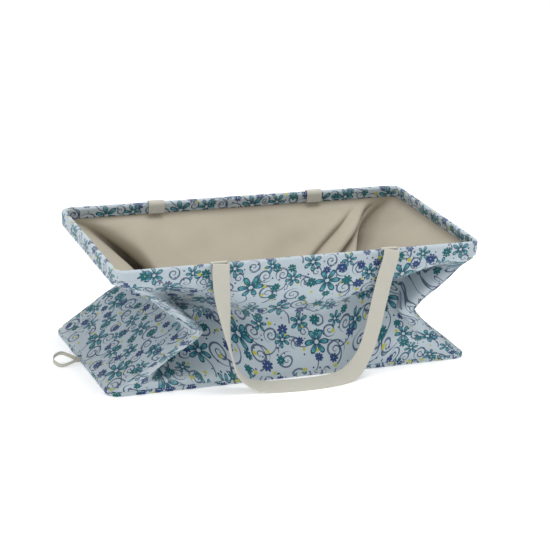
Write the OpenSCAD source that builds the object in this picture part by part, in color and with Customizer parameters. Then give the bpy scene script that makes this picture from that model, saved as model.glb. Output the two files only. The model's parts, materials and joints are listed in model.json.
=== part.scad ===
// Collapsible fabric tote: a stiff rectangular base, a wire-stiffened rectangular rim, four walls that
// fold inwards half way up, two webbing handles and a small pull loop. Millimetres, +Z up.
// The origin is the centre of the underside of the base, and the length runs along X.

/* [Bag] */
// Length of the base and of the rim
bag_l = 560; // [480:10:640]
// Width of the base and of the rim
bag_w = 280; // [260:5:330]
// Height of a wall laid flat, from the floor to the top of the rim
wall_h = 300; // [280:5:330]
// Height of the rim's top with the bag half folded
rest_h = 195; // [175:5:210]
// How far the rim has swayed towards the front as the bag rests
rim_sway = 18; // [0:2:24]
// Outer radius of the base's and the rim's corners
corner_r = 18; // [14:1:24]

/* [Base] */
// Thickness of the stiff board
board_t = 3; // [2:0.5:4]
// Thickness of the cover and of the lining over the board
cover_t = 1.5; // [1:0.25:2]
// Width of the binding round the base
binding_w = 6; // [4:1:8]

/* [Rim] */
// Diameter of the spring wire
wire_d = 4; // [3:0.5:5]
// Thickness of the rolled hem round the wire
hem_t = 8; // [7:0.5:9]
// Height of the hem, from its top to its stitching
hem_h = 22; // [18:1:26]
// Length of each crimped sleeve that joins the two halves of the wire
sleeve_l = 36; // [24:2:48]

/* [Walls] */
// Thickness of the printed outer fabric
outer_t = 1.0; // [0.8:0.1:1.2]
// Thickness of the lining
lining_t = 0.6; // [0.4:0.1:0.8]
// Space left along each crease between the two half walls
crease_gap = 7; // [6:1:12]
// Space left at each end of a long half wall for the corner's loose fabric
corner_gap = 16; // [15:1:22]

/* [Handles] */
// Width of the webbing
web_w = 25; // [20:1:30]
// Thickness of the webbing
web_t = 2; // [1.5:0.25:2.5]
// Distance between the middles of a handle's two ends
handle_span = 260; // [220:10:300]
// Distance between the middles of its legs where it lies on the floor
handle_foot = 160; // [150:10:220]
// How far in front of the rim the handle touches the floor
handle_reach = 45; // [45:5:70]

/* [Pull loop] */
// Width of the tape
tape_w = 10; // [8:1:12]
// Thickness of the tape
tape_t = 1.6; // [1:0.2:2]
// Length of the loop
loop_l = 42; // [34:2:50]
// Width of the loop
loop_w = 22; // [18:1:28]

/* [Hidden] */
$fn = 48;

cloth = [0.72, 0.80, 0.86];
lining = [0.72, 0.68, 0.60];
cream = [0.84, 0.81, 0.74];
steel = [0.62, 0.64, 0.66];
board = [0.25, 0.25, 0.26];

// Hinge lines of the half walls stand this far inside the outer faces and this far from base and hem
hinge_in = 3;
hinge_clear = 2;
base_t = board_t + 2 * cover_t;
hinge_lo = base_t + hinge_clear;
hinge_hi = rest_h - hem_h - hinge_clear;
half_gap = (hinge_hi - hinge_lo) / 2;
half_wall = (wall_h - (rest_h - hinge_hi) - hinge_lo) / 2;
fold_angle = asin(half_gap / half_wall);
panel_len = half_wall - crease_gap;

// The wire runs through the top of the hem
wire_z = rest_h - 5;
wire_in = hem_t / 2;
channel_d = wire_d + 0.6;
flap_t = 2;
roll_h = 10;

// Each handle turns about a fold of webbing just outside the rim
fold_d = 6;
fold_out = 6;
fold_z = rest_h - 4;
strap_drop = sqrt(pow(handle_reach, 2) + pow(fold_z - 1.5, 2));
strap_angle = atan2(fold_z - 1.5, handle_reach);
strap_start = fold_d / 2 + 0.4;
strap_r = 58;
tab_t = web_t;
tab_gap = 0.2;

// ---------------------------------------------------------------- shared shapes

module rounded_plate(l, w, r, t)
    linear_extrude(t) {
        square([l - 2 * r, w], center = true);
        square([l, w - 2 * r], center = true);
        for (sx = [-1, 1], sy = [-1, 1])
            translate([sx * (l / 2 - r), sy * (w / 2 - r)]) circle(r);
    }

module rounded_ring(t, height)
    difference() {
        rounded_plate(bag_l, bag_w, corner_r, height);
        translate([0, 0, -1])
            rounded_plate(bag_l - 2 * t, bag_w - 2 * t, corner_r - t, height + 2);
    }

// Turns what is drawn for the front, with Y running into the bag, to another side
module at_side(side) {
    turn = side == "front" ? 0 : side == "back" ? 180 : side == "left" ? -90 : 90;
    out = (side == "front" || side == "back") ? bag_w / 2 : bag_l / 2;
    rotate([0, 0, turn]) translate([0, -out, 0]) children();
}

// Moves what is drawn over the middle of the base to the rim's place
module on_rim() translate([0, -rim_sway, 0]) children();

function side_length(side) = (side == "front" || side == "back") ? bag_l : bag_w;

// ---------------------------------------------------------------- base

module bottom_board()
    color(board)
        translate([0, 0, cover_t])
            rounded_plate(bag_l - 2 * binding_w - 1, bag_w - 2 * binding_w - 1, corner_r - binding_w, board_t);

module bottom_cover()
    color(cloth)
        rounded_plate(bag_l - 2 * binding_w, bag_w - 2 * binding_w, corner_r - binding_w, cover_t);

module bottom_lining()
    color(lining)
        translate([0, 0, cover_t + board_t])
            rounded_plate(bag_l - 2 * binding_w, bag_w - 2 * binding_w, corner_r - binding_w, cover_t);

// One strip of binding along each edge, cut square at the corners
module base_binding()
    color(cloth)
        intersection() {
            rounded_ring(binding_w, base_t);
            union() {
                cube([bag_l - 2 * corner_r, 2 * bag_w, 4 * base_t], center = true);
                cube([2 * bag_l, bag_w - 2 * corner_r, 4 * base_t], center = true);
                for (sx = [-1, 1], sy = [-1, 1])
                    translate([sx * bag_l / 2, sy * bag_w / 2, 0])
                        cube([2 * corner_r - 0.4, 2 * corner_r - 0.4, 4 * base_t], center = true);
            }
        }

// ---------------------------------------------------------------- rim

// Half of the wire: a U with rounded corners whose ends meet at the middle of the long sides
module wire_half() {
    x = bag_l / 2 - wire_in;
    y = bag_w / 2 - wire_in;
    r = corner_r - wire_in;
    translate([0, 0, wire_z]) {
        for (s = [-1, 1]) {
            translate([0.5, s * y, 0]) rotate([0, 90, 0]) cylinder(d = wire_d, h = x - r - 0.5);
            translate([x - r, s * (y - r), 0])
                rotate([0, 0, s > 0 ? 0 : -90])
                    rotate_extrude(angle = 90) translate([r, 0]) circle(d = wire_d);
        }
        translate([x, -(y - r), 0]) rotate([-90, 0, 0]) cylinder(d = wire_d, h = 2 * (y - r));
    }
}

module rim_wire_right() color(steel) on_rim() wire_half();

module rim_wire_left() color(steel) on_rim() rotate([0, 0, 180]) wire_half();

module wire_sleeve(side)
    color(steel)
        on_rim() at_side(side)
            translate([-sleeve_l / 2, wire_in, wire_z])
                rotate([0, 90, 0])
                    difference() {
                        cylinder(d = wire_d + 2.2, h = sleeve_l);
                        translate([0, 0, -1]) cylinder(d = wire_d + 0.1, h = sleeve_l + 2);
                    }

module wire_sleeve_front() wire_sleeve("front");

module wire_sleeve_back() wire_sleeve("back");

// The whole hem: fabric rolled round the wire above, and its flap below
module hem_ring()
    difference() {
        union() {
            translate([0, 0, rest_h - roll_h]) rounded_ring(hem_t, roll_h);
            translate([0, 0, rest_h - hem_h]) rounded_ring(flap_t, hem_h - roll_h);
        }
        hem_channel();
    }

// The hollow that the wire lies in, wider where a sleeve joins it
module hem_channel() {
    x = bag_l / 2 - wire_in;
    y = bag_w / 2 - wire_in;
    r = corner_r - wire_in;
    translate([0, 0, wire_z])
        for (s = [-1, 1]) {
            translate([-(x - r), s * y, 0]) rotate([0, 90, 0]) cylinder(d = channel_d, h = 2 * (x - r));
            translate([s * x, -(y - r), 0]) rotate([-90, 0, 0]) cylinder(d = channel_d, h = 2 * (y - r));
            translate([-sleeve_l / 2 - 1, s * y, 0])
                rotate([0, 90, 0]) cylinder(d = wire_d + 2.8, h = sleeve_l + 2);
            for (t = [-1, 1])
                translate([s * (x - r), t * (y - r), 0])
                    rotate([0, 0, s > 0 ? (t > 0 ? 0 : -90) : (t > 0 ? 90 : 180)])
                        rotate_extrude(angle = 90) translate([r, 0]) circle(d = channel_d);
        }
}

// A side's share of the hem, cut at 45 degrees through the corners
module hem_side(side)
    color(cloth)
        on_rim() intersection() {
            hem_ring();
            translate([0, 0, rest_h - hem_h - 1])
                at_side(side)
                    linear_extrude(hem_h + 2)
                        polygon([
                            [-side_length(side) / 2 - 1, -1.2],
                            [side_length(side) / 2 + 1, -1.2],
                            [side_length(side) / 2 - 30.2, 30],
                            [-side_length(side) / 2 + 30.2, 30],
                        ]);
        }

module rim_hem_front() hem_side("front");

module rim_hem_back() hem_side("back");

module rim_hem_left() hem_side("left");

module rim_hem_right() hem_side("right");

// A webbing end: over the top of the hem and down its inner face
module handle_tab(side, s)
    color(cream)
        on_rim() at_side(side)
            translate([s * handle_span / 2 - web_w / 2, 0, 0]) {
                translate([0, -fold_out + fold_d / 2 + 0.3, rest_h + tab_gap])
                    cube([web_w, hem_t + fold_out - fold_d / 2 - 0.3 + tab_gap + tab_t, tab_t]);
                translate([0, hem_t + tab_gap, rest_h - hem_h])
                    cube([web_w, tab_t, hem_h + tab_gap]);
            }

module handle_tab_front_left() handle_tab("front", -1);

module handle_tab_front_right() handle_tab("front", 1);

module handle_tab_back_left() handle_tab("back", 1);

module handle_tab_back_right() handle_tab("back", -1);

// ---------------------------------------------------------------- walls

// A half wall with its root on the hinge line, lying along +Y. End walls keep their full width, and
// the long walls narrow at 45 degrees so that the corners never meet.
module half_panel(side, offset_z, t) {
    ends = side == "left" || side == "right";
    root = ends ? bag_w - 2 * hinge_in - 1 : bag_l - 2 * hinge_in - 2 * corner_gap;
    tip = ends ? root : root - 2 * panel_len;
    translate([0, 0, offset_z])
        linear_extrude(t)
            polygon([[-root / 2, 0], [root / 2, 0], [tip / 2, panel_len], [-tip / 2, panel_len]]);
}

module lower_at(side)
    at_side(side) translate([0, hinge_in, hinge_lo]) rotate([fold_angle, 0, 0]) children();

module upper_at(side)
    on_rim() at_side(side)
        translate([0, hinge_in, hinge_hi]) mirror([0, 0, 1]) rotate([fold_angle, 0, 0]) children();

module front_lower_panel() color(cloth) lower_at("front") half_panel("front", lining_t, outer_t);
module front_lower_lining() color(lining) lower_at("front") half_panel("front", 0, lining_t);
module front_upper_panel() color(cloth) upper_at("front") half_panel("front", lining_t, outer_t);
module front_upper_lining() color(lining) upper_at("front") half_panel("front", 0, lining_t);

module back_lower_panel() color(cloth) lower_at("back") half_panel("back", lining_t, outer_t);
module back_lower_lining() color(lining) lower_at("back") half_panel("back", 0, lining_t);
module back_upper_panel() color(cloth) upper_at("back") half_panel("back", lining_t, outer_t);
module back_upper_lining() color(lining) upper_at("back") half_panel("back", 0, lining_t);

module left_lower_panel() color(cloth) lower_at("left") half_panel("left", lining_t, outer_t);
module left_lower_lining() color(lining) lower_at("left") half_panel("left", 0, lining_t);
module left_upper_panel() color(cloth) upper_at("left") half_panel("left", lining_t, outer_t);
module left_upper_lining() color(lining) upper_at("left") half_panel("left", 0, lining_t);

module right_lower_panel() color(cloth) lower_at("right") half_panel("right", lining_t, outer_t);
module right_lower_lining() color(lining) lower_at("right") half_panel("right", 0, lining_t);
module right_upper_panel() color(cloth) upper_at("right") half_panel("right", lining_t, outer_t);
module right_upper_lining() color(lining) upper_at("right") half_panel("right", 0, lining_t);

// A bound seam that zigzags down a corner, along the edge of the end wall
module corner_seam(side, s) {
    seam_w = 1.8;
    place = s * (bag_w / 2 - seam_w / 2 - 0.4) - seam_w / 2;
    color(cloth) {
        lower_at(side) translate([place, 2, 0]) cube([seam_w, panel_len - 2, 2]);
        upper_at(side) translate([place, 2, 0]) cube([seam_w, panel_len - 2, 2]);
    }
}

module corner_seam_front_left() corner_seam("left", 1);

module corner_seam_back_left() corner_seam("left", -1);

module corner_seam_front_right() corner_seam("right", -1);

module corner_seam_back_right() corner_seam("right", 1);

// ---------------------------------------------------------------- handles

// The rolled bends of webbing that a handle's two legs turn on
module handle_folds(side)
    color(cream)
        on_rim() at_side(side)
            for (s = [-1, 1])
                translate([s * handle_span / 2 - web_w / 2, -fold_out, fold_z])
                    rotate([0, 90, 0]) cylinder(d = fold_d, h = web_w);

module front_handle_folds() handle_folds("front");

module back_handle_folds() handle_folds("back");

// The outline of the loop, from its open ends at y = 0 down to y = -strap_drop, inset by d
module strap_outline(d, cut) {
    span = (handle_span + web_w) / 2 - d;
    foot = (handle_foot + web_w) / 2 - d;
    r = strap_r - d;
    hull()
        for (s = [-1, 1]) {
            translate([s * (span - 1), cut]) circle(1);
            translate([s * (foot - r), -strap_drop + strap_r]) circle(r);
        }
}

// The handle's free length, a flat loop that slopes from the rim to the floor
module handle_strap(side)
    color(cream)
        on_rim() at_side(side)
            translate([0, -fold_out, fold_z])
                rotate([strap_angle, 0, 0])
                        translate([0, 0, -web_t / 2])
                            linear_extrude(web_t)
                                intersection() {
                                    difference() {
                                        strap_outline(0, 10);
                                        strap_outline(web_w, 30);
                                    }
                                    translate([-bag_l / 2, -strap_drop - 10])
                                        square([bag_l, strap_drop + 10 - strap_start]);
                                }

module front_handle_strap() handle_strap("front");

module back_handle_strap() handle_strap("back");

// ---------------------------------------------------------------- pull loop

// A loop of narrow tape on edge, sewn into the binding at the left end of the base
module pull_loop()
    color(cream)
        translate([-bag_l / 2 - 0.4, 0, 0.3])
            linear_extrude(tape_w)
                difference() {
                    loop_outline(0);
                    loop_outline(tape_t);
                }

module loop_outline(d) {
    r = loop_w / 2 - d;
    hull() {
        translate([-2.5 - d, 0]) circle(2.5 + (d > 0 ? -1 : 0));
        translate([-loop_l + loop_w / 2, 0]) circle(r);
    }
}

// ---------------------------------------------------------------- assembly

bottom_board();
bottom_cover();
bottom_lining();
base_binding();
rim_wire_left();
rim_wire_right();
wire_sleeve_front();
wire_sleeve_back();
rim_hem_front();
rim_hem_back();
rim_hem_left();
rim_hem_right();
handle_tab_front_left();
handle_tab_front_right();
handle_tab_back_left();
handle_tab_back_right();
front_lower_panel();
front_lower_lining();
front_upper_panel();
front_upper_lining();
back_lower_panel();
back_lower_lining();
back_upper_panel();
back_upper_lining();
left_lower_panel();
left_lower_lining();
left_upper_panel();
left_upper_lining();
right_lower_panel();
right_lower_lining();
right_upper_panel();
right_upper_lining();
corner_seam_front_left();
corner_seam_front_right();
corner_seam_back_left();
corner_seam_back_right();
front_handle_folds();
back_handle_folds();
front_handle_strap();
back_handle_strap();
pull_loop();
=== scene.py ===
"""A collapsible knitting bag, half collapsed: printed cloth walls on a stiff base, hung from a wire rim.

Lengths are metres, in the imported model's frame: +X along the bag, +Y to the back, +Z up out of the mouth.
"""
import json
import logging
import math
from dataclasses import dataclass
from enum import Enum
from typing import Sequence

import bpy
import numpy as np
from mathutils import Matrix, Vector


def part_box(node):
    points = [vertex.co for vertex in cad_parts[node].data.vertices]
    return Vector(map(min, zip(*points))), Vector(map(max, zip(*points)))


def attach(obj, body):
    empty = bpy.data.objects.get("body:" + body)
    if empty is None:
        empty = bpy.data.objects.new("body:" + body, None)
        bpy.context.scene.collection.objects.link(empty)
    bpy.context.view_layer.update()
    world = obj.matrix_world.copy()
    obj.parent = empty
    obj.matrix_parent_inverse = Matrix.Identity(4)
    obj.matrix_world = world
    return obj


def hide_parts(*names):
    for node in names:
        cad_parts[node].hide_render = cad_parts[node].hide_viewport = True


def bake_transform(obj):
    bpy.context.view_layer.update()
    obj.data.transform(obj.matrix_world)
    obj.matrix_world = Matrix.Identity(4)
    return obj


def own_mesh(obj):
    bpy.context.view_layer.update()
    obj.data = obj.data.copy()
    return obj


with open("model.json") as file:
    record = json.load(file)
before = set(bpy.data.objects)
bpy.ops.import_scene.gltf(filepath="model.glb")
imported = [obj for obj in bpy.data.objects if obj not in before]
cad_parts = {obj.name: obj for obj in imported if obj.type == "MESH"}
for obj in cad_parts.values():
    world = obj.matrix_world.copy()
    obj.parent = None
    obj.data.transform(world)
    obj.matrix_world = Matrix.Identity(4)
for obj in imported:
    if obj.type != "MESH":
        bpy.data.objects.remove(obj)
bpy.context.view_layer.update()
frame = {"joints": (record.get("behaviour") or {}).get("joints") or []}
LOG = logging.getLogger("knitting_bag")
MM = 0.001
TAU = 2.0 * math.pi
TILES_ROUND = 14  # repeats of the print round the bag
THREAD_RADIUS = 0.34 * MM
WALL_LIFT = 1.0 * MM  # the walls' foot above the base's lining
LOOP_HEIGHT = 5.4 * MM  # where the pull loop leaves the binding


class Slot(Enum):
    """The record's material slots."""

    PRINT = "printed_fabric"
    LINING = "lining_fabric"
    WEBBING = "webbing"
    STEEL = "wire_steel"
    BOARD = "base_board"


class Side(Enum):
    """The two long sides, each with a handle; the value is the sign of y."""

    FRONT = -1
    BACK = 1


# ------------------------------------------------------------------------------------------ shapes


def ease(x: np.ndarray, low: float, high: float) -> np.ndarray:
    """Rise from 0 at low to 1 at high along 3t^2 - 2t^3.

    Args:
        x: Where to evaluate.
        low: The end at 0.
        high: The end at 1.

    Returns:
        The eased values, in the shape of x.
    """
    t = np.clip((x - low) / (high - low), 0.0, 1.0)
    return t * t * (3.0 - 2.0 * t)


def hump(x: np.ndarray, centre: float, width: float) -> np.ndarray:
    """Gaussian hump of height 1, falling to 1/e at width from its centre."""
    return np.exp(-(((x - centre) / width) ** 2))


def soft_min(a: np.ndarray, b: np.ndarray, sharpness: float) -> np.ndarray:
    """The smaller of two fields with a rounded crossing: -ln(e^-ka + e^-kb) / k."""
    return -np.logaddexp(-sharpness * a, -sharpness * b) / sharpness


def unit(v: np.ndarray) -> np.ndarray:
    """Vectors scaled to length 1 along their last axis."""
    return v / np.maximum(np.linalg.norm(v, axis=-1, keepdims=True), 1e-12)


def smooth_path(points: Sequence[Sequence[float]], count: int) -> np.ndarray:
    """Walk a Catmull-Rom spline through given points at an even pace.

    Each span is the cubic whose end slopes are half the chord between the neighbouring points.

    Args:
        points: The points that the spline passes through.
        count: How many points to return.

    Returns:
        An array of count points, evenly spaced along the spline's length.
    """
    p = np.array(points, float)
    p = np.vstack([2 * p[0] - p[1], p, 2 * p[-1] - p[-2]])
    t = np.linspace(0.0, 1.0, 24, endpoint=False)[:, None]
    spans = []
    for a, b, c, d in zip(p[:-3], p[1:-2], p[2:-1], p[3:]):
        spans.append(0.5 * (2 * b + (c - a) * t + (2 * a - 5 * b + 4 * c - d) * t**2 + (3 * b - a - 3 * c + d)
                            * t**3))
    dense = np.vstack(spans + [p[-2:-1]])
    walked = np.concatenate([[0.0], np.cumsum(np.linalg.norm(np.diff(dense, axis=0), axis=1))])
    wanted = np.linspace(0.0, walked[-1], count)
    return np.stack([np.interp(wanted, walked, dense[:, k]) for k in range(dense.shape[1])], axis=1)


def make_mesh(name: str, points: np.ndarray, faces: np.ndarray,
              uv: np.ndarray | None = None) -> bpy.types.Object:
    """Make an object from whole arrays.

    Args:
        name: The object's name.
        points: Vertices, one row of x, y, z each.
        faces: Vertex numbers, one row a face, all faces with as many corners.
        uv: Texture coordinates in metres, one row for each corner of each face in turn.

    Returns:
        The linked object, at the origin.
    """
    mesh = bpy.data.meshes.new(name)
    mesh.from_pydata(points.reshape(-1, 3).tolist(), [], faces.tolist())
    if uv is not None:
        layer = mesh.uv_layers.new(name="cloth")
        layer.data.foreach_set("uv", uv.astype(np.float32).ravel())
    mesh.polygons.foreach_set("use_smooth", np.ones(len(mesh.polygons), bool))
    mesh.update()
    obj = bpy.data.objects.new(name, mesh)
    bpy.context.scene.collection.objects.link(obj)
    return obj


def grid_faces(rows: int, cols: int, wrap_rows: bool = False, wrap_cols: bool = False) -> np.ndarray:
    """Quads of a grid whose vertices are numbered row by row.

    Args:
        rows: Number of rows.
        cols: Number of columns.
        wrap_rows: Whether the last row joins the first.
        wrap_cols: Whether the last column joins the first.

    Returns:
        One row of four vertex numbers a quad.
    """
    i, j = np.meshgrid(np.arange(rows if wrap_rows else rows - 1), np.arange(cols if wrap_cols else cols - 1),
                       indexing="ij")
    i2, j2 = (i + 1) % rows, (j + 1) % cols
    return np.stack([i * cols + j, i2 * cols + j, i2 * cols + j2, i * cols + j2], axis=-1).reshape(-1, 4)


def grid_uv(u: np.ndarray, v: np.ndarray) -> np.ndarray:
    """Corner coordinates for grid_faces.

    Args:
        u: Coordinates at the row edges, one more than the quads along the rows.
        v: Coordinates at the column edges, or at every grid point as rows of columns.

    Returns:
        Four u, v pairs for each quad.
    """
    u, v = np.broadcast_arrays(u[:, None], v)
    table = np.stack([u, v], axis=-1)
    corners = [table[:-1, :-1], table[1:, :-1], table[1:, 1:], table[:-1, 1:]]
    return np.stack(corners, axis=-2).reshape(-1, 2)


def sweep(name: str, path: np.ndarray, normal: np.ndarray, section: np.ndarray,
          closed: bool = False) -> bpy.types.Object:
    """Carry a closed section along a path, and cap the ends of an open one.

    A point of the section at (a, b) lies at path + a * side + b * normal, with side = tangent x normal.

    Args:
        name: The object's name.
        path: Points of the centreline.
        normal: The way that the section's second axis faces, one row a point.
        section: The section's outline, anticlockwise, in metres.
        closed: Whether the path's end joins its start.

    Returns:
        The object, with u along the path and v round the section.
    """
    tangent = np.roll(path, -1, 0) - np.roll(path, 1, 0) if closed else np.gradient(path, axis=0)
    tangent = unit(tangent)
    normal = unit(normal - (normal * tangent).sum(1, keepdims=True) * tangent)
    side = np.cross(tangent, normal)
    points = path[:, None] + section[None, :, :1] * side[:, None] + section[None, :, 1:] * normal[:, None]
    rows, cols = len(path), len(section)
    steps = np.linalg.norm(np.diff(path, axis=0, append=path[:1]), axis=1)
    u = np.concatenate([[0.0], np.cumsum(steps)])[: rows + 1 if closed else rows]
    around = np.linalg.norm(np.diff(section, axis=0, append=section[:1]), axis=1)
    v = np.concatenate([[0.0], np.cumsum(around)])
    faces = grid_faces(rows, cols, wrap_rows=closed, wrap_cols=True)
    uv = grid_uv(u, v)
    if closed:
        return make_mesh(name, points, faces, uv)
    middle = np.stack([points[0].mean(0), points[-1].mean(0)])
    ring = np.arange(cols)
    first = np.stack([ring, np.roll(ring, -1), np.full(cols, rows * cols), np.full(cols, rows * cols)],
                     axis=1)
    last = np.stack([np.roll(ring, -1), ring, np.full(cols, 1), np.full(cols, 1)], axis=1)
    last[:, :2] += (rows - 1) * cols
    last[:, 2:] = rows * cols + 1
    obj = make_mesh(name, np.vstack([points.reshape(-1, 3), middle]), faces, uv)
    add_caps(obj, first[:, :3], last[:, :3])
    return obj


def add_caps(obj: bpy.types.Object, *fans: np.ndarray) -> None:
    """Add fans of triangles to a mesh that closes its open ends.

    Args:
        obj: The object to close.
        fans: Triangles, one row of three vertex numbers each.
    """
    mesh = obj.data
    points = np.zeros(len(mesh.vertices) * 3)
    mesh.vertices.foreach_get("co", points)
    faces = [list(p.vertices) for p in mesh.polygons] + [row for fan in fans for row in fan.tolist()]
    uv = np.zeros(len(mesh.loops) * 2)
    mesh.uv_layers[0].data.foreach_get("uv", uv)
    extra = np.zeros(sum(len(fan) for fan in fans) * 6)
    closed = bpy.data.meshes.new(mesh.name)
    closed.from_pydata(points.reshape(-1, 3).tolist(), [], faces)
    closed.uv_layers.new(name="cloth").data.foreach_set("uv", np.concatenate([uv, extra]))
    closed.polygons.foreach_set("use_smooth", np.ones(len(faces), bool))
    obj.data = closed
    bpy.data.meshes.remove(mesh)


def band_section(width: float, thickness: float, edge_points: int = 4, across: int = 9) -> np.ndarray:
    """A flat band's outline with half-round edges.

    Args:
        width: Across the band.
        thickness: Through the band.
        edge_points: Points on each rounded edge.
        across: Points along each flat face.

    Returns:
        The outline, anticlockwise.
    """
    r = thickness / 2
    flat = np.linspace(-(width / 2 - r), width / 2 - r, across)
    turn = np.linspace(-math.pi / 2, math.pi / 2, edge_points + 2)[1:-1]
    low = np.stack([flat, np.full(across, -r)], 1)
    right = np.stack([width / 2 - r + r * np.cos(turn), r * np.sin(turn)], 1)
    return np.vstack([low, right, -low, -right])


def stitches(name: str, centres: np.ndarray, along: np.ndarray, out: np.ndarray, length: float,
             radius: float) -> bpy.types.Object:
    """Lay one thread stitch at each centre: an ellipsoid stretched along the seam.

    A stitch's point is
    centre + cos(a) * length / 2 * along + sin(a) * radius * (cos(b) * side + sin(b) * out).

    Args:
        name: The object's name.
        centres: Middle of each stitch.
        along: The way each stitch points.
        out: The way out of the cloth.
        length: Length of a stitch.
        radius: Half its thickness.

    Returns:
        One object that holds every stitch.
    """
    a = np.array([0.0, 0.55, 1.2, math.pi - 1.2, math.pi - 0.55, math.pi])
    b = np.linspace(0.0, TAU, 6, endpoint=False)
    along, out = unit(along), unit(out)
    side = np.cross(along, out)
    ring = np.cos(b)[:, None, None] * side + np.sin(b)[:, None, None] * out
    cos_a, sin_a = np.cos(a)[:, None, None, None], np.sin(a)[:, None, None, None]
    body = cos_a * along * length / 2 + sin_a * ring * radius
    points = np.moveaxis(body + centres, 2, 0).reshape(len(centres), -1, 3)
    quads = grid_faces(len(a), len(b), wrap_cols=True)[:, ::-1]
    faces = (quads[None] + (np.arange(len(centres)) * points.shape[1])[:, None, None]).reshape(-1, 4)
    return make_mesh(name, points, faces)


def at_distance(table: np.ndarray, walked: np.ndarray, where: np.ndarray) -> np.ndarray:
    """Rows of a table of three columns, read between its points at given distances along it."""
    return np.stack([np.interp(where, walked, table[:, k]) for k in range(3)], axis=1)


def seam_stitches(name: str, path: np.ndarray, out: np.ndarray, pitch: float, length: float,
                  closed: bool = False) -> bpy.types.Object:
    """Lay a row of stitches along a path.

    Args:
        name: The object's name.
        path: Points along the seam.
        out: The way out of the cloth at each point.
        pitch: From one stitch to the next.
        length: Length of a stitch.
        closed: Whether the seam joins its own start.

    Returns:
        The row as one object.
    """
    if closed:
        path, out = np.vstack([path, path[:1]]), np.vstack([out, out[:1]])
    walked = np.concatenate([[0.0], np.cumsum(np.linalg.norm(np.diff(path, axis=0), axis=1))])
    count = max(2, int(walked[-1] / pitch))
    middle = (np.arange(count) + 0.5) * walked[-1] / count
    along = at_distance(path, walked, middle + length / 2) - at_distance(path, walked, middle - length / 2)
    centres, facing = at_distance(path, walked, middle), at_distance(out, walked, middle)
    return stitches(name, centres, along, facing, length, THREAD_RADIUS)


@dataclass(frozen=True)
class Outline:
    """A rounded rectangle, walked anticlockwise from the middle of its front-left corner.

    Both the centre that the edge turns about and the way that it faces are straight lines in the distance
    walked, so a point is centre(t) + corner_r * (cos turn(t), sin turn(t)).
    """

    half_l: float
    half_w: float
    corner_r: float

    @property
    def long(self) -> float:
        """Walk from the front-left corner to the front-right one."""
        return 2 * (self.half_l - self.corner_r) + self.corner_r * math.pi / 2

    @property
    def short(self) -> float:
        """Walk from the front-right corner to the back-right one."""
        return 2 * (self.half_w - self.corner_r) + self.corner_r * math.pi / 2

    @property
    def length(self) -> float:
        """Walk all the way round."""
        return 2 * (self.long + self.short)

    def walk(self, t: np.ndarray, inset: np.ndarray | float = 0.0) -> tuple[np.ndarray, np.ndarray]:
        """Find the edge at a distance walked.

        Args:
            t: Distance walked from the front-left corner.
            inset: How far inside the edge.

        Returns:
            The points and the outward normals, each with x, y and 0.
        """
        a, b, arc = self.half_l - self.corner_r, self.half_w - self.corner_r, self.corner_r * math.pi / 2
        stops = np.cumsum([0.0, arc / 2, 2 * a, arc, 2 * b, arc, 2 * a, arc, 2 * b, arc / 2])
        t = np.mod(t, stops[-1])
        cx = np.interp(t, stops, [-a, -a, a, a, a, a, -a, -a, -a, -a])
        cy = np.interp(t, stops, [-b, -b, -b, -b, b, b, b, b, -b, -b])
        turn = np.radians(np.interp(t, stops, [-135, -90, -90, 0, 0, 90, 90, 180, 180, 225]))
        normal = np.stack([np.cos(turn), np.sin(turn), np.zeros_like(turn)], axis=-1)
        reach = self.corner_r - np.asarray(inset)
        point = np.stack([cx, cy, np.zeros_like(cx)], axis=-1) + reach[..., None] * normal
        return point, normal


# --------------------------------------------------------------------------------------- materials


def srgb(red: int, green: int, blue: int) -> tuple[float, float, float, float]:
    """A colour given as 0 to 255 on a screen, as linear light with an alpha of 1."""
    return tuple(c / 12.92 if c <= 0.04045 else ((c + 0.055) / 1.055) ** 2.4
                 for c in (red / 255, green / 255, blue / 255)) + (1.0,)


class Sum:
    """A number in a node tree, which plain arithmetic turns into Math nodes."""

    def __init__(self, tree: bpy.types.NodeTree, value: "bpy.types.NodeSocket | float") -> None:
        """Hold a socket or a plain number of that tree."""
        self.tree, self.value = tree, value

    def op(self, operation: str, *others: "Sum | float") -> "Sum":
        """Add one Math node of that operation, with this number first."""
        node = self.tree.nodes.new("ShaderNodeMath")
        node.operation = operation
        for slot_number, item in enumerate((self, *others)):
            put(self.tree, node.inputs[slot_number], item)
        return Sum(self.tree, node.outputs[0])

    def __add__(self, other: "Sum | float") -> "Sum":
        """Sum of the two."""
        return self.op("ADD", other)

    def __sub__(self, other: "Sum | float") -> "Sum":
        """The other taken from this."""
        return self.op("SUBTRACT", other)

    def __mul__(self, other: "Sum | float") -> "Sum":
        """Product of the two."""
        return self.op("MULTIPLY", other)

    def __truediv__(self, other: "Sum | float") -> "Sum":
        """This over the other."""
        return self.op("DIVIDE", other)

    def rise(self, low: float, high: float) -> "Sum":
        """Smooth step from 0 at low to 1 at high; low may be the larger."""
        node = self.tree.nodes.new("ShaderNodeMapRange")
        node.interpolation_type = "SMOOTHSTEP"
        if low > high:
            node.inputs["To Min"].default_value, node.inputs["To Max"].default_value = 1.0, 0.0
            low, high = high, low
        put(self.tree, node.inputs["Value"], self)
        node.inputs["From Min"].default_value, node.inputs["From Max"].default_value = low, high
        return Sum(self.tree, node.outputs["Result"])


def put(tree: bpy.types.NodeTree, socket: bpy.types.NodeSocket, item: object) -> None:
    """Set a socket from a Sum, another socket or a plain value."""
    item = item.value if isinstance(item, Sum) else item
    if isinstance(item, bpy.types.NodeSocket):
        tree.links.new(item, socket)
    else:
        socket.default_value = item


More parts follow.
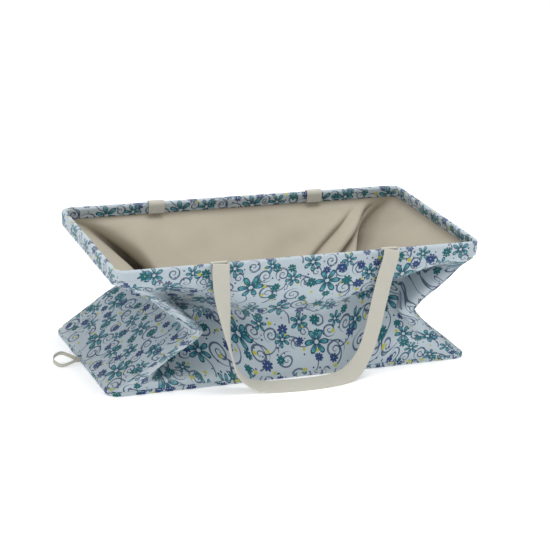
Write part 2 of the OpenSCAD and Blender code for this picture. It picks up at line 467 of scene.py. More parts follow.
def add(tree: bpy.types.NodeTree, kind: str, inputs: dict[str, object] | None = None,
        **settings: object) -> bpy.types.Node:
    """Add a shader node.

    Args:
        tree: The tree that it goes into.
        kind: The node's type after "ShaderNode".
        inputs: Values or sockets by input name.
        settings: The node's own properties.

    Returns:
        The node.
    """
    node = tree.nodes.new("ShaderNode" + kind)
    for key, value in settings.items():
        setattr(node, key, value)
    for key, item in (inputs or {}).items():
        put(tree, node.inputs[key], item)
    return node


def blend_colour(tree: bpy.types.NodeTree, share: object, low: object, high: object) -> bpy.types.NodeSocket:
    """Mix two colours, all low at a share of 0 and all high at 1."""
    node = tree.nodes.new("ShaderNodeMix")
    node.data_type = "RGBA"
    for number, item in ((0, share), (6, low), (7, high)):
        put(tree, node.inputs[number], item)
    return node.outputs[2]


class Group:
    """A shader node group being built, with named inputs and outputs."""

    def __init__(self, name: str, inputs: dict[str, tuple[str, object]], outputs: dict[str, str]) -> None:
        """Make the empty group.

        Args:
            name: The group's name.
            inputs: Socket kind and default value by input name.
            outputs: Socket kind by output name.
        """
        self.tree = bpy.data.node_groups.new(name, "ShaderNodeTree")
        for key, (kind, default) in inputs.items():
            socket = self.tree.interface.new_socket(key, in_out="INPUT", socket_type="NodeSocket" + kind)
            if default is not None:
                socket.default_value = default
        for key, kind in outputs.items():
            self.tree.interface.new_socket(key, in_out="OUTPUT", socket_type="NodeSocket" + kind)
        self.source = self.tree.nodes.new("NodeGroupInput").outputs
        self.sink = self.tree.nodes.new("NodeGroupOutput").inputs

    def number(self, key: str) -> Sum:
        """One of the group's inputs as a number."""
        return Sum(self.tree, self.source[key])

    def out(self, key: str, item: object) -> None:
        """Send a value to one of the group's outputs."""
        put(self.tree, self.sink[key], item)

    def xy(self, key: str = "Vector") -> tuple[Sum, Sum]:
        """The first two parts of a vector input."""
        node = add(self.tree, "SeparateXYZ", {"Vector": self.source[key]})
        return Sum(self.tree, node.outputs[0]), Sum(self.tree, node.outputs[1])


def use_group(tree: bpy.types.NodeTree, group: bpy.types.NodeTree,
              **inputs: object) -> bpy.types.bpy_prop_collection:
    """Place a group in a tree; an underscore in an input's name stands for a space.

    Args:
        tree: The tree that it goes into.
        group: The group.
        inputs: Values or sockets by input name.

    Returns:
        The placed group's outputs.
    """
    node = tree.nodes.new("ShaderNodeGroup")
    node.node_tree = group
    for key, item in inputs.items():
        put(tree, node.inputs[key.replace("_", " ")], item)
    return node.outputs


class Effects:
    """The shader node groups that the finishes share."""

    def __init__(self) -> None:
        """Build each group once."""
        self.flower = self.build_flower()
        self.spiral = self.build_spiral()
        self.stem = self.build_stem()
        self.placed = self.build_placement()
        self.weave = self.build_weave()
        self.mottle = self.build_mottle()
        self.wear = self.build_wear()

    @staticmethod
    def build_placement() -> bpy.types.NodeTree:
        """Repeating tile to a motif's own axes.

        local = rotate(fract(uv / tile - centre + 1/2) - 1/2) * tile / size.
        """
        g = Group("Motif place",
                  {"Vector": ("Vector", None), "Tile": ("Float", 0.1), "Centre": ("Vector", None),
                   "Turn": ("Float", 0.0), "Size": ("Float", 0.01)}, {"Vector": "Vector"})
        inverse = Sum(g.tree, 1.0) / g.number("Tile")
        scaled = add(g.tree, "VectorMath", {0: g.source["Vector"]}, operation="SCALE")
        put(g.tree, scaled.inputs["Scale"], inverse)
        moved = add(g.tree, "VectorMath", {0: scaled.outputs[0], 1: g.source["Centre"]}, operation="SUBTRACT")
        half = add(g.tree, "VectorMath", {0: moved.outputs[0], 1: (0.5, 0.5, 0.0)}, operation="ADD")
        part = add(g.tree, "VectorMath", {0: half.outputs[0]}, operation="FRACTION")
        centred = add(g.tree, "VectorMath", {0: part.outputs[0], 1: (0.5, 0.5, 0.0)}, operation="SUBTRACT")
        grown = add(g.tree, "VectorMath", {0: centred.outputs[0]}, operation="SCALE")
        put(g.tree, grown.inputs["Scale"], g.number("Tile") / g.number("Size"))
        turned = add(g.tree, "VectorRotate", {"Vector": grown.outputs[0], "Angle": g.source["Turn"]},
                     rotation_type="Z_AXIS")
        g.out("Vector", turned.outputs[0])
        return g.tree

    @staticmethod
    def build_flower() -> bpy.types.NodeTree:
        """Petals round a centre.

        The angle is folded into one sector, and a petal is the ellipse about (0.56, 0) there.
        """
        g = Group("Petal flower",
                  {"Vector": ("Vector", None), "Petals": ("Float", 6.0), "Width": ("Float", 0.2)},
                  {"Fill": "Float", "Line": "Float", "Core": "Float", "Depth": "Float"})
        x, y = g.xy()
        radius = (x * x + y * y).op("SQRT")
        sector = (y.op("ARCTAN2", x) * g.number("Petals") / TAU + 0.5).op("FRACT") - 0.5
        angle = sector * TAU / g.number("Petals")
        along, across = radius * angle.op("COSINE"), radius * angle.op("SINE")
        ex = (along - 0.56) / 0.44
        ey = across / (g.number("Width") * (along * 0.55 + 0.62))
        e = (ex * ex + ey * ey).op("SQRT")
        core = radius.rise(0.19, 0.14)
        vein = across.op("ABSOLUTE").rise(0.035, 0.012) * along.rise(0.75, 0.5)
        outline = e.rise(0.70, 0.82) * e.rise(1.12, 1.02)
        g.out("Fill", e.rise(1.06, 0.96))
        g.out("Line", outline.op("MAXIMUM", vein * e.rise(1.0, 0.9)).op("MAXIMUM",
                                                                        radius.rise(0.27, 0.22)
                                                                        * radius.rise(0.13, 0.18)))
        g.out("Core", core)
        g.out("Depth", along)
        return g.tree

    @staticmethod
    def build_spiral() -> bpy.types.NodeTree:
        """Spiral pen line: the distance to r = (angle / 2 pi + k) / turns, inside a radius of 1."""
        g = Group("Spiral line",
                  {"Vector": ("Vector", None), "Turns": ("Float", 2.3), "Pen": ("Float", 0.05)},
                  {"Line": "Float", "Inside": "Float"})
        x, y = g.xy()
        radius = (x * x + y * y).op("SQRT")
        wound = radius.op("POWER", 0.8) * g.number("Turns") - y.op("ARCTAN2", x) / TAU
        gap = ((wound + 0.5).op("FRACT") - 0.5).op("ABSOLUTE") / g.number("Turns")
        pen = g.number("Pen") * (radius * 0.7 + 0.55)
        edge = Sum(g.tree, 1.0) - (gap / pen)
        g.out("Line", edge.rise(0.0, 0.45) * radius.rise(1.0, 0.985) * radius.rise(0.04, 0.10))
        g.out("Inside", radius.rise(1.02, 0.97))
        return g.tree

    @staticmethod
    def build_stem() -> bpy.types.NodeTree:
        """Part of a ring: radius 1, from angle 0 over the angle Sweep, thinning towards its end."""
        g = Group("Stem arc", {"Vector": ("Vector", None), "Sweep": ("Float", 2.0), "Pen": ("Float", 0.05)},
                  {"Line": "Float"})
        x, y = g.xy()
        radius = (x * x + y * y).op("SQRT")
        turn = (y.op("ARCTAN2", x) / TAU + 1.0).op("FRACT") * TAU
        share = turn / g.number("Sweep")
        pen = g.number("Pen") * (Sum(g.tree, 1.15) - share * 0.6)
        edge = Sum(g.tree, 1.0) - (radius - 1.0).op("ABSOLUTE") / pen
        g.out("Line", edge.rise(0.0, 0.45) * share.rise(1.0, 0.97) * share.rise(-0.01, 0.01))
        return g.tree

    @staticmethod
    def build_weave() -> bpy.types.NodeTree:
        """Plain weave: warp and weft are sines of the two directions, and slubs are stretched noise."""
        g = Group("Plain weave",
                  {"Vector": ("Vector", None), "Threads": ("Float", 1400.0), "Slub": ("Float", 0.4)},
                  {"Height": "Float"})
        x, y = g.xy()
        pitch = g.number("Threads") * (TAU / 2)
        warp, weft = (x * pitch).op("SINE"), (y * pitch).op("SINE")
        stretched = add(g.tree, "VectorMath", {0: g.source["Vector"], 1: (900.0, 60.0, 60.0)},
                        operation="MULTIPLY")
        slub = add(g.tree, "TexNoise", {"Vector": stretched.outputs[0], "Scale": 1.0, "Detail": 2.0})
        g.out("Height", warp * weft * 0.5 + 0.5 + Sum(g.tree, slub.outputs[0]) * g.number("Slub"))
        return g.tree

    @staticmethod
    def build_mottle() -> bpy.types.NodeTree:
        """Uneven dye: two octaves of soft noise lighten and darken a colour by up to Amount."""
        g = Group("Cloth mottle",
                  {"Vector": ("Vector", None), "Color": ("Color", None), "Scale": ("Float", 30.0),
                   "Amount": ("Float", 0.08)}, {"Color": "Color", "Value": "Float"})
        noise = add(g.tree, "TexNoise",
                    {"Vector": g.source["Vector"], "Scale": g.source["Scale"], "Detail": 5.0,
                     "Roughness": 0.55})
        value = (Sum(g.tree, noise.outputs[0]) - 0.5) * g.number("Amount") * 2.0 + 1.0
        scaled = add(g.tree, "VectorMath", {0: g.source["Color"]}, operation="SCALE")
        put(g.tree, scaled.inputs["Scale"], value)
        g.out("Color", scaled.outputs[0])
        g.out("Value", value)
        return g.tree

    @staticmethod
    def build_wear() -> bpy.types.NodeTree:
        """Handling marks.

        Where the mesh's crease mask is high, patchy noise lets a paler, duller colour through.
        """
        g = Group("Crease wear",
                  {"Vector": ("Vector", None), "Color": ("Color", None), "Worn": ("Color", None),
                   "Crease": ("Float", 0.0), "Roughness": ("Float", 0.8)},
                  {"Color": "Color", "Roughness": "Float"})
        noise = add(g.tree, "TexNoise", {"Vector": g.source["Vector"], "Scale": 420.0, "Detail": 3.0})
        patch = Sum(g.tree, noise.outputs[0]).rise(0.35, 0.65) * g.number("Crease")
        g.out("Color", blend_colour(g.tree, patch * 0.55, g.source["Color"], g.source["Worn"]))
        g.out("Roughness", g.number("Roughness") + patch * 0.1)
        return g.tree


@dataclass(frozen=True)
class Flower:
    """One printed flower: where in the tile, how big, how many petals, and its inks."""

    at: tuple[float, float]
    radius: float
    turn: float
    petals: int
    width: float
    fill: tuple[float, float, float, float]
    line: tuple[float, float, float, float]
    core: tuple[float, float, float, float]


@dataclass(frozen=True)
class Scroll:
    """One printed scroll: a spiral, or a stem where sweep is given, in a pen of some width."""

    at: tuple[float, float]
    radius: float
    turn: float
    turns: float = 2.3
    sweep: float = 0.0
    pen: float = 0.05
    flip: bool = False


@dataclass(frozen=True)
class Scatter:
    """Marks strewn over the cloth, one to a cell.

    It holds the cell size, radius, share left out, two inks, and petals or 0 for a dot.
    """

    cell: float
    radius: float
    left_out: float
    ink: tuple[float, float, float, float]
    second_ink: tuple[float, float, float, float]
    petals: int = 0


@dataclass(frozen=True)
class PrintFinish:
    """Pale cotton with a printed scatter of flowers, spirals and dots on a square repeat."""

    tile: float
    ground: tuple[float, float, float, float] = srgb(176, 188, 196)
    navy: tuple[float, float, float, float] = srgb(40, 64, 108)
    ink: tuple[float, float, float, float] = srgb(46, 70, 100)
    teal: tuple[float, float, float, float] = srgb(10, 70, 90)
    aqua: tuple[float, float, float, float] = srgb(82, 150, 160)
    green: tuple[float, float, float, float] = srgb(16, 92, 98)
    lime: tuple[float, float, float, float] = srgb(172, 174, 58)

    def flowers(self) -> list[Flower]:
        """The big six-petal flowers of one repeat."""
        big = [((0.15, 0.19), 17.5, 0.3), ((0.66, 0.66), 19.0, 1.0), ((0.80, 0.16), 13.5, 0.1),
               ((0.20, 0.74), 12.5, 0.7), ((0.44, 0.93), 14.0, 0.5), ((0.92, 0.92), 11.0, 0.9)]
        return [Flower(at, r * MM, turn, 6, 0.215, self.aqua, self.teal, self.ground) for at, r, turn in big]

    def scrolls(self) -> list[Scroll]:
        """The pen-line spirals and the stems that join them."""
        return [
            Scroll((0.40, 0.26), 15 * MM, 2.2, 2.1, pen=0.100),
            Scroll((0.58, 0.14), 10 * MM, 0.4, 1.8, pen=0.130),
            Scroll((0.24, 0.48), 13 * MM, 4.0, 2.0, pen=0.110, flip=True),
            Scroll((0.90, 0.54), 15 * MM, 5.2, 2.1, pen=0.100, flip=True),
            Scroll((0.38, 0.67), 9 * MM, 1.2, 1.7, pen=0.140),
            Scroll((0.06, 0.80), 11 * MM, 3.1, 2.0, pen=0.120),
            Scroll((0.50, 0.80), 8 * MM, 2.6, 1.6, pen=0.150, flip=True),
            Scroll((0.97, 0.13), 9 * MM, 5.6, 1.7, pen=0.140),
            Scroll((0.84, 0.80), 11 * MM, 0.9, 1.9, pen=0.120),
            Scroll((0.68, 0.93), 10 * MM, 3.9, 1.8, pen=0.130),
            Scroll((0.76, 0.30), 8 * MM, 4.6, 1.6, pen=0.150, flip=True),
            Scroll((0.49, 0.41), 20 * MM, 2.0, sweep=2.8, pen=0.075),
            Scroll((0.30, 0.60), 19 * MM, 5.4, sweep=2.4, pen=0.070),
            Scroll((0.80, 0.50), 21 * MM, 1.1, sweep=2.6, pen=0.070),
            Scroll((0.66, 0.20), 18 * MM, 3.5, sweep=2.4, pen=0.080),
            Scroll((0.14, 0.96), 20 * MM, 0.2, sweep=2.3, pen=0.070),
            Scroll((0.48, 0.76), 17 * MM, 2.9, sweep=2.5, pen=0.080),
            Scroll((0.98, 0.70), 16 * MM, 1.9, sweep=2.4, pen=0.080),
        ]

    def scatters(self) -> list[Scatter]:
        """The small marks that fill the gaps: round dots in two inks, then daisies in two."""
        return [
            Scatter(11 * MM, 1.5 * MM, 0.62, self.ink, self.navy),
            Scatter(25 * MM, 3.0 * MM, 0.50, self.lime, self.lime),
            Scatter(27 * MM, 7.2 * MM, 0.28, self.navy, self.green, petals=8),
        ]

    def build_print(self, effects: Effects) -> bpy.types.NodeTree:
        """Lay every motif over the ground in one group.

        Args:
            effects: The shared groups.

        Returns:
            The group, from cloth coordinates in metres to a colour.
        """
        g = Group("Scroll and flower print", {"Vector": ("Vector", None)}, {"Color": "Color"})
        wobble = add(g.tree, "TexNoise", {"Vector": g.source["Vector"], "Scale": 95.0, "Detail": 1.0})
        shift = add(g.tree, "VectorMath", {0: wobble.outputs["Color"], 1: (0.5, 0.5, 0.5)},
                    operation="SUBTRACT")
        small = add(g.tree, "VectorMath", {0: shift.outputs[0]}, operation="SCALE")
        small.inputs["Scale"].default_value = 2.2 * MM
        uv = add(g.tree, "VectorMath", {0: g.source["Vector"], 1: small.outputs[0]},
                 operation="ADD").outputs[0]
        colour: object = self.ground
        for scroll in self.scrolls():
            line = self.draw_scroll(g.tree, effects, uv, scroll)
            colour = blend_colour(g.tree, line * 0.88, colour, self.ink)
        for scatter in self.scatters():
            mask, shade = self.draw_scatter(g.tree, effects, uv, scatter)
            colour = blend_colour(g.tree, mask, colour, shade)
        for flower in self.flowers():
            local = use_group(g.tree, effects.placed, Vector=uv, Tile=self.tile, Centre=(*flower.at, 0.0),
                              Turn=flower.turn, Size=flower.radius)[0]
            parts = use_group(g.tree, effects.flower, Vector=local, Petals=float(flower.petals),
                              Width=flower.width)
            shaded = blend_colour(g.tree, Sum(g.tree, parts["Depth"]).rise(0.10, 0.95), flower.line,
                                  flower.fill)
            colour = blend_colour(g.tree, parts["Fill"], colour, shaded)
            colour = blend_colour(g.tree, parts["Line"], colour, flower.line)
            colour = blend_colour(g.tree, parts["Core"], colour, flower.core)
        g.out("Color", colour)
        return g.tree

    def draw_scatter(self, tree: bpy.types.NodeTree, effects: Effects, uv: object,
                     scatter: Scatter) -> tuple[object, object]:
        """Strew one kind of mark: a mark's own axes are (uv - its cell's point) / radius, turned by chance.

        Args:
            tree: The print's tree.
            effects: The shared groups.
            uv: Cloth coordinates in metres.
            scatter: What to strew.

        Returns:
            The marks' mask and their colour.
        """
        cells = add(tree, "TexVoronoi", {"Vector": uv, "Scale": 1.0 / scatter.cell, "Randomness": 0.72},
                    voronoi_dimensions="2D")
        chance = add(tree, "SeparateColor", {"Color": cells.outputs["Color"]}).outputs
        away = add(tree, "VectorMath", {0: uv, 1: cells.outputs["Position"]}, operation="SUBTRACT").outputs[0]
        size = Sum(tree, chance[2]) * 0.4 + 0.8
        local = add(tree, "VectorMath", {0: away}, operation="SCALE")
        put(tree, local.inputs["Scale"], Sum(tree, 1.0 / scatter.radius) / size)
        shown = Sum(tree, chance[0]).rise(scatter.left_out, scatter.left_out + 0.01)
        flat = add(tree, "VectorMath", {0: local.outputs[0], 1: (1.0, 1.0, 0.0)},
                   operation="MULTIPLY").outputs[0]
        if scatter.petals:
            turned = add(tree, "VectorRotate", {"Vector": flat, "Angle": Sum(tree, chance[2]) * TAU},
                         rotation_type="Z_AXIS").outputs[0]
            parts = use_group(tree, effects.flower, Vector=turned, Petals=float(scatter.petals), Width=0.24)
            mask = Sum(tree, parts["Fill"]).op("MAXIMUM", Sum(tree, parts["Line"]))
        else:
            mask = Sum(tree, add(tree, "VectorMath", {0: flat},
                                 operation="LENGTH").outputs["Value"]).rise(1.0, 0.8)
        return mask * shown, blend_colour(tree, Sum(tree, chance[1]).rise(0.49, 0.51), scatter.ink,
                                          scatter.second_ink)

    def draw_scroll(self, tree: bpy.types.NodeTree, effects: Effects, uv: object, scroll: Scroll) -> Sum:
        """Place one spiral or stem.

        Args:
            tree: The print's tree.
            effects: The shared groups.
            uv: Cloth coordinates in metres.
            scroll: What to draw.

        Returns:
            The pen line's mask.
        """
        local = use_group(tree, effects.placed, Vector=uv, Tile=self.tile, Centre=(*scroll.at, 0.0),
                          Turn=scroll.turn, Size=scroll.radius)[0]
        if scroll.flip:
            local = add(tree, "VectorMath", {0: local, 1: (1.0, -1.0, 1.0)}, operation="MULTIPLY").outputs[0]
        if scroll.sweep:
            return Sum(tree, use_group(tree, effects.stem, Vector=local, Sweep=scroll.sweep,
                                       Pen=scroll.pen)[0])
        return Sum(tree, use_group(tree, effects.spiral, Vector=local, Turns=scroll.turns,
                                   Pen=scroll.pen)["Line"])

    def material(self, name: str, effects: Effects, printed: bpy.types.NodeTree,
                 shift: tuple[float, float, float]) -> bpy.types.Material:
        """The printed cotton.

        Args:
            name: The material's name.
            effects: The shared groups.
            printed: The print's group.
            shift: Where on the repeat this piece was cut.

        Returns:
            The material.
        """
        mat, tree, shader = new_material(name)
        uv = add(tree, "UVMap", uv_map="cloth").outputs[0]
        cut = add(tree, "VectorMath", {0: uv, 1: shift}, operation="ADD").outputs[0]
        crease = add(tree, "Attribute", attribute_name="crease").outputs["Fac"]
        inked = use_group(tree, printed, Vector=cut)
        dyed = use_group(tree, effects.mottle, Vector=uv, Color=inked["Color"], Scale=26.0, Amount=0.05)
        worn = use_group(tree, effects.wear, Vector=uv, Color=dyed["Color"], Worn=srgb(196, 204, 210),
                         Crease=crease, Roughness=0.72)
        weave = use_group(tree, effects.weave, Vector=uv, Threads=1300.0, Slub=0.5)
        finish_cloth(tree, shader, worn["Color"], worn["Roughness"], weave["Height"], 0.10, 0.12 * MM)
        shader.inputs["Sheen Weight"].default_value = 0.12
        shader.inputs["Sheen Roughness"].default_value = 0.5
        return mat


def new_material(name: str) -> tuple[bpy.types.Material, bpy.types.NodeTree, bpy.types.Node]:
    """A new node material, its tree and its Principled shader."""
    mat = bpy.data.materials.new(name)
    mat.use_nodes = True
    return mat, mat.node_tree, mat.node_tree.nodes["Principled BSDF"]


def finish_cloth(tree: bpy.types.NodeTree, shader: bpy.types.Node, colour: object, roughness: object,
                 height: object, strength: float, depth: float) -> None:
    """Feed a shader its colour, its roughness and a bump.

    Args:
        tree: The material's tree.
        shader: Its Principled shader.
        colour: Base colour.
        roughness: Roughness.
        height: Bump height, about 0 to 1.
        strength: Strength of the bump.
        depth: What a height of 1 stands for.
    """
    put(tree, shader.inputs["Base Color"], colour)
    put(tree, shader.inputs["Roughness"], roughness)
    bump = add(tree, "Bump", {"Height": height, "Strength": strength, "Distance": depth})
    put(tree, shader.inputs["Normal"], bump.outputs[0])
    shader.inputs["Specular IOR Level"].default_value = 0.25


@dataclass(frozen=True)
class PlainCloth:
    """Plain-woven cloth in one dye, with slubs and creases."""

    name: str
    dye: tuple[float, float, float, float]
    worn: tuple[float, float, float, float]
    threads: float = 1100.0
    uneven: float = 0.08

    def material(self, effects: Effects) -> bpy.types.Material:
        """Build the material from the shared groups."""
        mat, tree, shader = new_material(self.name)
        uv = add(tree, "UVMap", uv_map="cloth").outputs[0]
        crease = add(tree, "Attribute", attribute_name="crease").outputs["Fac"]
        dyed = use_group(tree, effects.mottle, Vector=uv, Color=self.dye, Scale=18.0, Amount=self.uneven)
        worn = use_group(tree, effects.wear, Vector=uv, Color=dyed["Color"], Worn=self.worn, Crease=crease,
                         Roughness=0.82)
        weave = use_group(tree, effects.weave, Vector=uv, Threads=self.threads, Slub=0.8)
        finish_cloth(tree, shader, worn["Color"], worn["Roughness"], weave["Height"], 0.16, 0.15 * MM)
        shader.inputs["Sheen Weight"].default_value = 0.1
        return mat


@dataclass(frozen=True)
class RibbedWebbing:
    """Cotton webbing in a fine herringbone.

    Ribs slant one way on one half of the width and back on the other.
    """

    name: str
    dye: tuple[float, float, float, float]
    shadow: tuple[float, float, float, float]
    ribs: float = 620.0
    half_width: float = 12.5 * MM

    def material(self, effects: Effects) -> bpy.types.Material:
        """Build the material.

        The height is sin(ribs * (along + |across - middle|)).
        """
        mat, tree, shader = new_material(self.name)
        uv = add(tree, "UVMap", uv_map="cloth").outputs[0]
        parts = add(tree, "SeparateXYZ", {"Vector": uv})
        along, across = Sum(tree, parts.outputs[0]), Sum(tree, parts.outputs[1])
        width = self.half_width * 2
        middle = ((across / (width / 3)).op("FRACT") - 0.5).op("ABSOLUTE") * (width / 3)
        rib = ((along + middle) * (self.ribs * TAU / 2)).op("SINE") * 0.5 + 0.5
        dyed = use_group(tree, effects.mottle, Vector=uv, Color=self.dye, Scale=60.0, Amount=0.05)
        shaded = blend_colour(tree, rib * 0.16, dyed["Color"], self.shadow)
        weave = use_group(tree, effects.weave, Vector=uv, Threads=900.0, Slub=0.6)
        finish_cloth(tree, shader, shaded, 0.8, rib + Sum(tree, weave["Height"]) * 0.4, 0.25, 0.25 * MM)
        shader.inputs["Sheen Weight"].default_value = 0.15
        return mat


@dataclass(frozen=True)
class SolidStuff:
    """A finish that isn't woven.

    Thread, wire or board, with grain from stretched noise on object coordinates.
    """

    name: str
    colour: tuple[float, float, float, float]
    second: tuple[float, float, float, float]
    roughness: float
    metallic: float = 0.0
    grain: tuple[float, float, float] = (300.0, 300.0, 300.0)
    relief: float = 0.2

    def material(self) -> bpy.types.Material:
        """Mix the two colours by the grain, and raise a bump from it."""
        mat, tree, shader = new_material(self.name)
        place = add(tree, "TexCoord").outputs["Object"]
        stretched = add(tree, "VectorMath", {0: place, 1: self.grain}, operation="MULTIPLY").outputs[0]
        noise = add(tree, "TexNoise", {"Vector": stretched, "Scale": 1.0, "Detail": 6.0, "Roughness": 0.6})
        grain = Sum(tree, noise.outputs[0])
        colour = blend_colour(tree, grain.rise(0.3, 0.7), self.colour, self.second)
        finish_cloth(tree, shader, colour, grain * 0.2 + (self.roughness - 0.1), grain, self.relief, 0.2 * MM)
        shader.inputs["Metallic"].default_value = self.metallic
        shader.inputs["Specular IOR Level"].default_value = 0.5
        return mat


class Wardrobe:
    """Every finish of the bag, built once."""

    def __init__(self, tile: float) -> None:
        """Build the materials.

        Args:
            tile: Side of the print's square repeat.
        """
        effects = Effects()
        printed = PrintFinish(tile)
        group = printed.build_print(effects)
        self.cloth = printed.material("printed cotton walls", effects, group, (0.0, 0.024, 0.0))
        self.binding = printed.material("printed cotton binding", effects, group, (0.031, 0.052, 0.0))
        self.lining = PlainCloth("taupe lining", srgb(173, 166, 150), srgb(188, 181, 166),
                                 uneven=0.13).material(effects)
        self.webbing = RibbedWebbing("cream webbing", srgb(193, 191, 180),
                                     srgb(150, 145, 130)).material(effects)
        self.thread = SolidStuff("pale thread", srgb(206, 210, 214), srgb(176, 184, 194), 0.6).material()
        self.steel = SolidStuff("drawn spring steel", srgb(150, 154, 158), srgb(122, 126, 130), 0.32, 1.0,
                                (60.0, 2600.0, 2600.0), 0.1).material()
        self.board = SolidStuff("grey fibreboard", srgb(120, 112, 100), srgb(92, 86, 78), 0.85, 0.0,
                                (260.0, 900.0, 260.0), 0.5).material()


def dress(obj: bpy.types.Object, mat: bpy.types.Material) -> bpy.types.Object:
    """Give a piece its one material."""
    obj.data.materials.clear()
    obj.data.materials.append(mat)
    return obj


# ------------------------------------------------------------------------------------- cloth walls


@dataclass
class Rim:
    """The hem and what is inside it, a little lower at the front than at the back."""

    outline: Outline
    shift_y: float
    top: float
    slope: float = 0.045
    wire_r: float = 2.0 * MM
    wire_inset: float = 4.0 * MM
    hem_h: float = 22.0 * MM

    def place(self, t: np.ndarray, inset: np.ndarray | float, height: np.ndarray | float) -> np.ndarray:
        """Points on the hem.

        Args:
            t: Distance walked round the rim.
            inset: How far inside the outer edge.
            height: Above the hem's top edge.

        Returns:
            The points.
        """
        t, inset, height = np.broadcast_arrays(t, inset, height)
        point, _ = self.outline.walk(t, inset)
        z = self.top + height + self.slope * point[..., 1]
        return np.stack([point[..., 0], point[..., 1] + self.shift_y, z], axis=-1)

    def profile(self) -> np.ndarray:
        """Inset and height of the hem's cloth, from the inner edge over the wire and down the outer face."""
        roll = np.linspace(0.0, math.pi, 11)[:, None]
        over = np.hstack([4.0 + 4.0 * np.cos(roll), -4.0 + 4.0 * np.sin(roll)])
        inner = np.array([[4.3, -18.0], [4.7, -17.0], [5.2, -14.5], [6.1, -11.5], [7.4, -7.5]])
        outer = np.array([[0.1, -6.5], [0.4, -10.0], [0.8, -14.0], [1.0, -18.0], [1.0, -22.0]])
        return np.vstack([inner, over, outer]) * MM


@dataclass
class Folds:
    """How the walls give as the rim comes down, as distances on the cloth and depths of fold.

    Over the height v, from 0 at the base to 1 under the hem, a wall point is the straight line from base to
    rim, plus the end fold's pull along x times a tent in v, plus the long side's tuck along y times its own
    profile in v, plus small wrinkles. End walls fold flat along one crease half way up; the corners go with
    them and draw the long walls in behind a stiff upright strip.
    """

    end_fold: float = 0.115
    right_fold: float = 0.092
    crease_round: float = 0.045

    def pull(self, left: np.ndarray, right: np.ndarray, on_back: np.ndarray) -> np.ndarray:
        """Pull along x at the crease: full on the end walls, let out over the first 260 mm of the long ones.

        Args:
            left: Distance on the cloth from the left end wall.
            right: Distance from the right end wall.
            on_back: Where the point is on the back wall, whose left fold lies along the end wall.

        Returns:
            The pull, positive to the right.
        """
        quick = np.clip(1.0 - (left - 0.012) / 0.120, 0.0, 1.0)
        pulled_left = self.end_fold * np.where(on_back, quick, self.let_out(left))
        return pulled_left - self.right_fold * self.let_out(right)

    @staticmethod
    def let_out(d: np.ndarray) -> np.ndarray:
        """Share of a fold's pull that is left at distance d from the corner."""
        return 1.0 - 0.6 * ease(d, 0.012, 0.085) - 0.4 * ease(d, 0.085, 0.26)

    def tent(self, v: np.ndarray) -> np.ndarray:
        """1 half way up and 0 at both ends, straight between, with a rounded crease."""
        r = self.crease_round
        return 1.0 - (np.sqrt((2 * v - 1) ** 2 + r * r) - r) / (math.sqrt(1 + r * r) - r)

    def end_tent(self, left: np.ndarray, v: np.ndarray) -> np.ndarray:
        """The tent of the end folds; at the left end its upper half is drawn in early, as a power of 0.74."""
        plain = self.tent(v)
        share = ease(v, 0.5, 0.62) * ease(-left, -0.05, 0.0)
        return plain + (plain**0.74 - plain) * share

    def front_tuck(self, left: np.ndarray, right: np.ndarray, v: np.ndarray) -> np.ndarray:
        """Tuck of the front wall.

        Deep beside the left corner, shallow in the middle, and a slanting lip at the right.

        Args:
            left: Distance on the cloth from the left end wall.
            right: Distance from the right end wall.
            v: Height on the wall, 0 to 1.

        Returns:
            How far in the cloth lies.
        """
        depth = 0.094 * ease(left, 0.013, 0.055) - 0.058 * ease(left, 0.09, 0.25)
        slant = hump(right, 0.085, 0.065)
        depth = depth * ease(right, 0.012, 0.060) + 0.036 * slant
        lip = 0.54 + 0.38 * ease(-right, -0.235, -0.02)
        deep_left = ease(-left, -0.20, -0.06)
        steep = 2.6 - 1.5 * deep_left + 9.0 * slant
        rise_from = 0.02 + 0.075 * deep_left + 0.22 * slant
        upper = np.maximum((1.0 - v) / (1.0 - lip), 0.0) ** steep
        lower = np.maximum((v - rise_from) / (lip - rise_from), 0.0) ** (1.1 - 0.62 * deep_left)
        return depth * np.clip(soft_min(upper, lower, 9.0), 0.0, 1.0)

    def back_tuck(self, left: np.ndarray, right: np.ndarray, v: np.ndarray) -> np.ndarray:
        """Tuck of the back wall: one wide funnel, with two pleats near the right corner."""
        depth = 0.104 * ease(left, 0.006, 0.105) * ease(right, 0.010, 0.075)
        fan = 1.0 - v
        pleats = -0.020 * hump(right - 0.17 * fan, 0.032, 0.008) + 0.012 * hump(right - 0.17 * fan, 0.050,
                                                                                0.012)
        pleats = pleats - 0.013 * hump(right - 0.25 * fan, 0.058, 0.009) + 0.008 * hump(right - 0.25 * fan,
                                                                                        0.080, 0.014)
        soft = 0.007 * np.sin(left * 19.0 + 6.0 * v) + 0.004 * np.sin(left * 47.0 - 9.0 * v + 1.0)
        plain = self.tent(v)
        shape = plain + (plain**0.62 - plain) * ease(-left, -0.17, -0.03)
        middle = soft * ease(left, 0.05, 0.2) * plain
        return depth * shape + middle + pleats * ease(v, 0.30, 0.6) * ease(-v, -0.99, -0.85)

    @staticmethod
    def wrinkles(t: np.ndarray, v: np.ndarray) -> np.ndarray:
        """Small uneven waves: sines across the cloth at several slants, none at the hem or the base."""
        waves = [(9.0, 2.0, 0.3, 1.5), (17.0, -6.0, 1.9, 1.2), (31.0, 9.0, 4.1, 0.8),
                 (47.0, -17.0, 2.2, 0.45), (12.0, 21.0, 5.0, 0.9), (23.0, 33.0, 0.8, 0.4)]
        total = sum(size * np.sin(across * t * 1.7 + up * v + start) for across, up, start, size in waves)
        return total * MM * ease(v, 0.0, 0.18) * ease(-v, -1.0, -0.85)


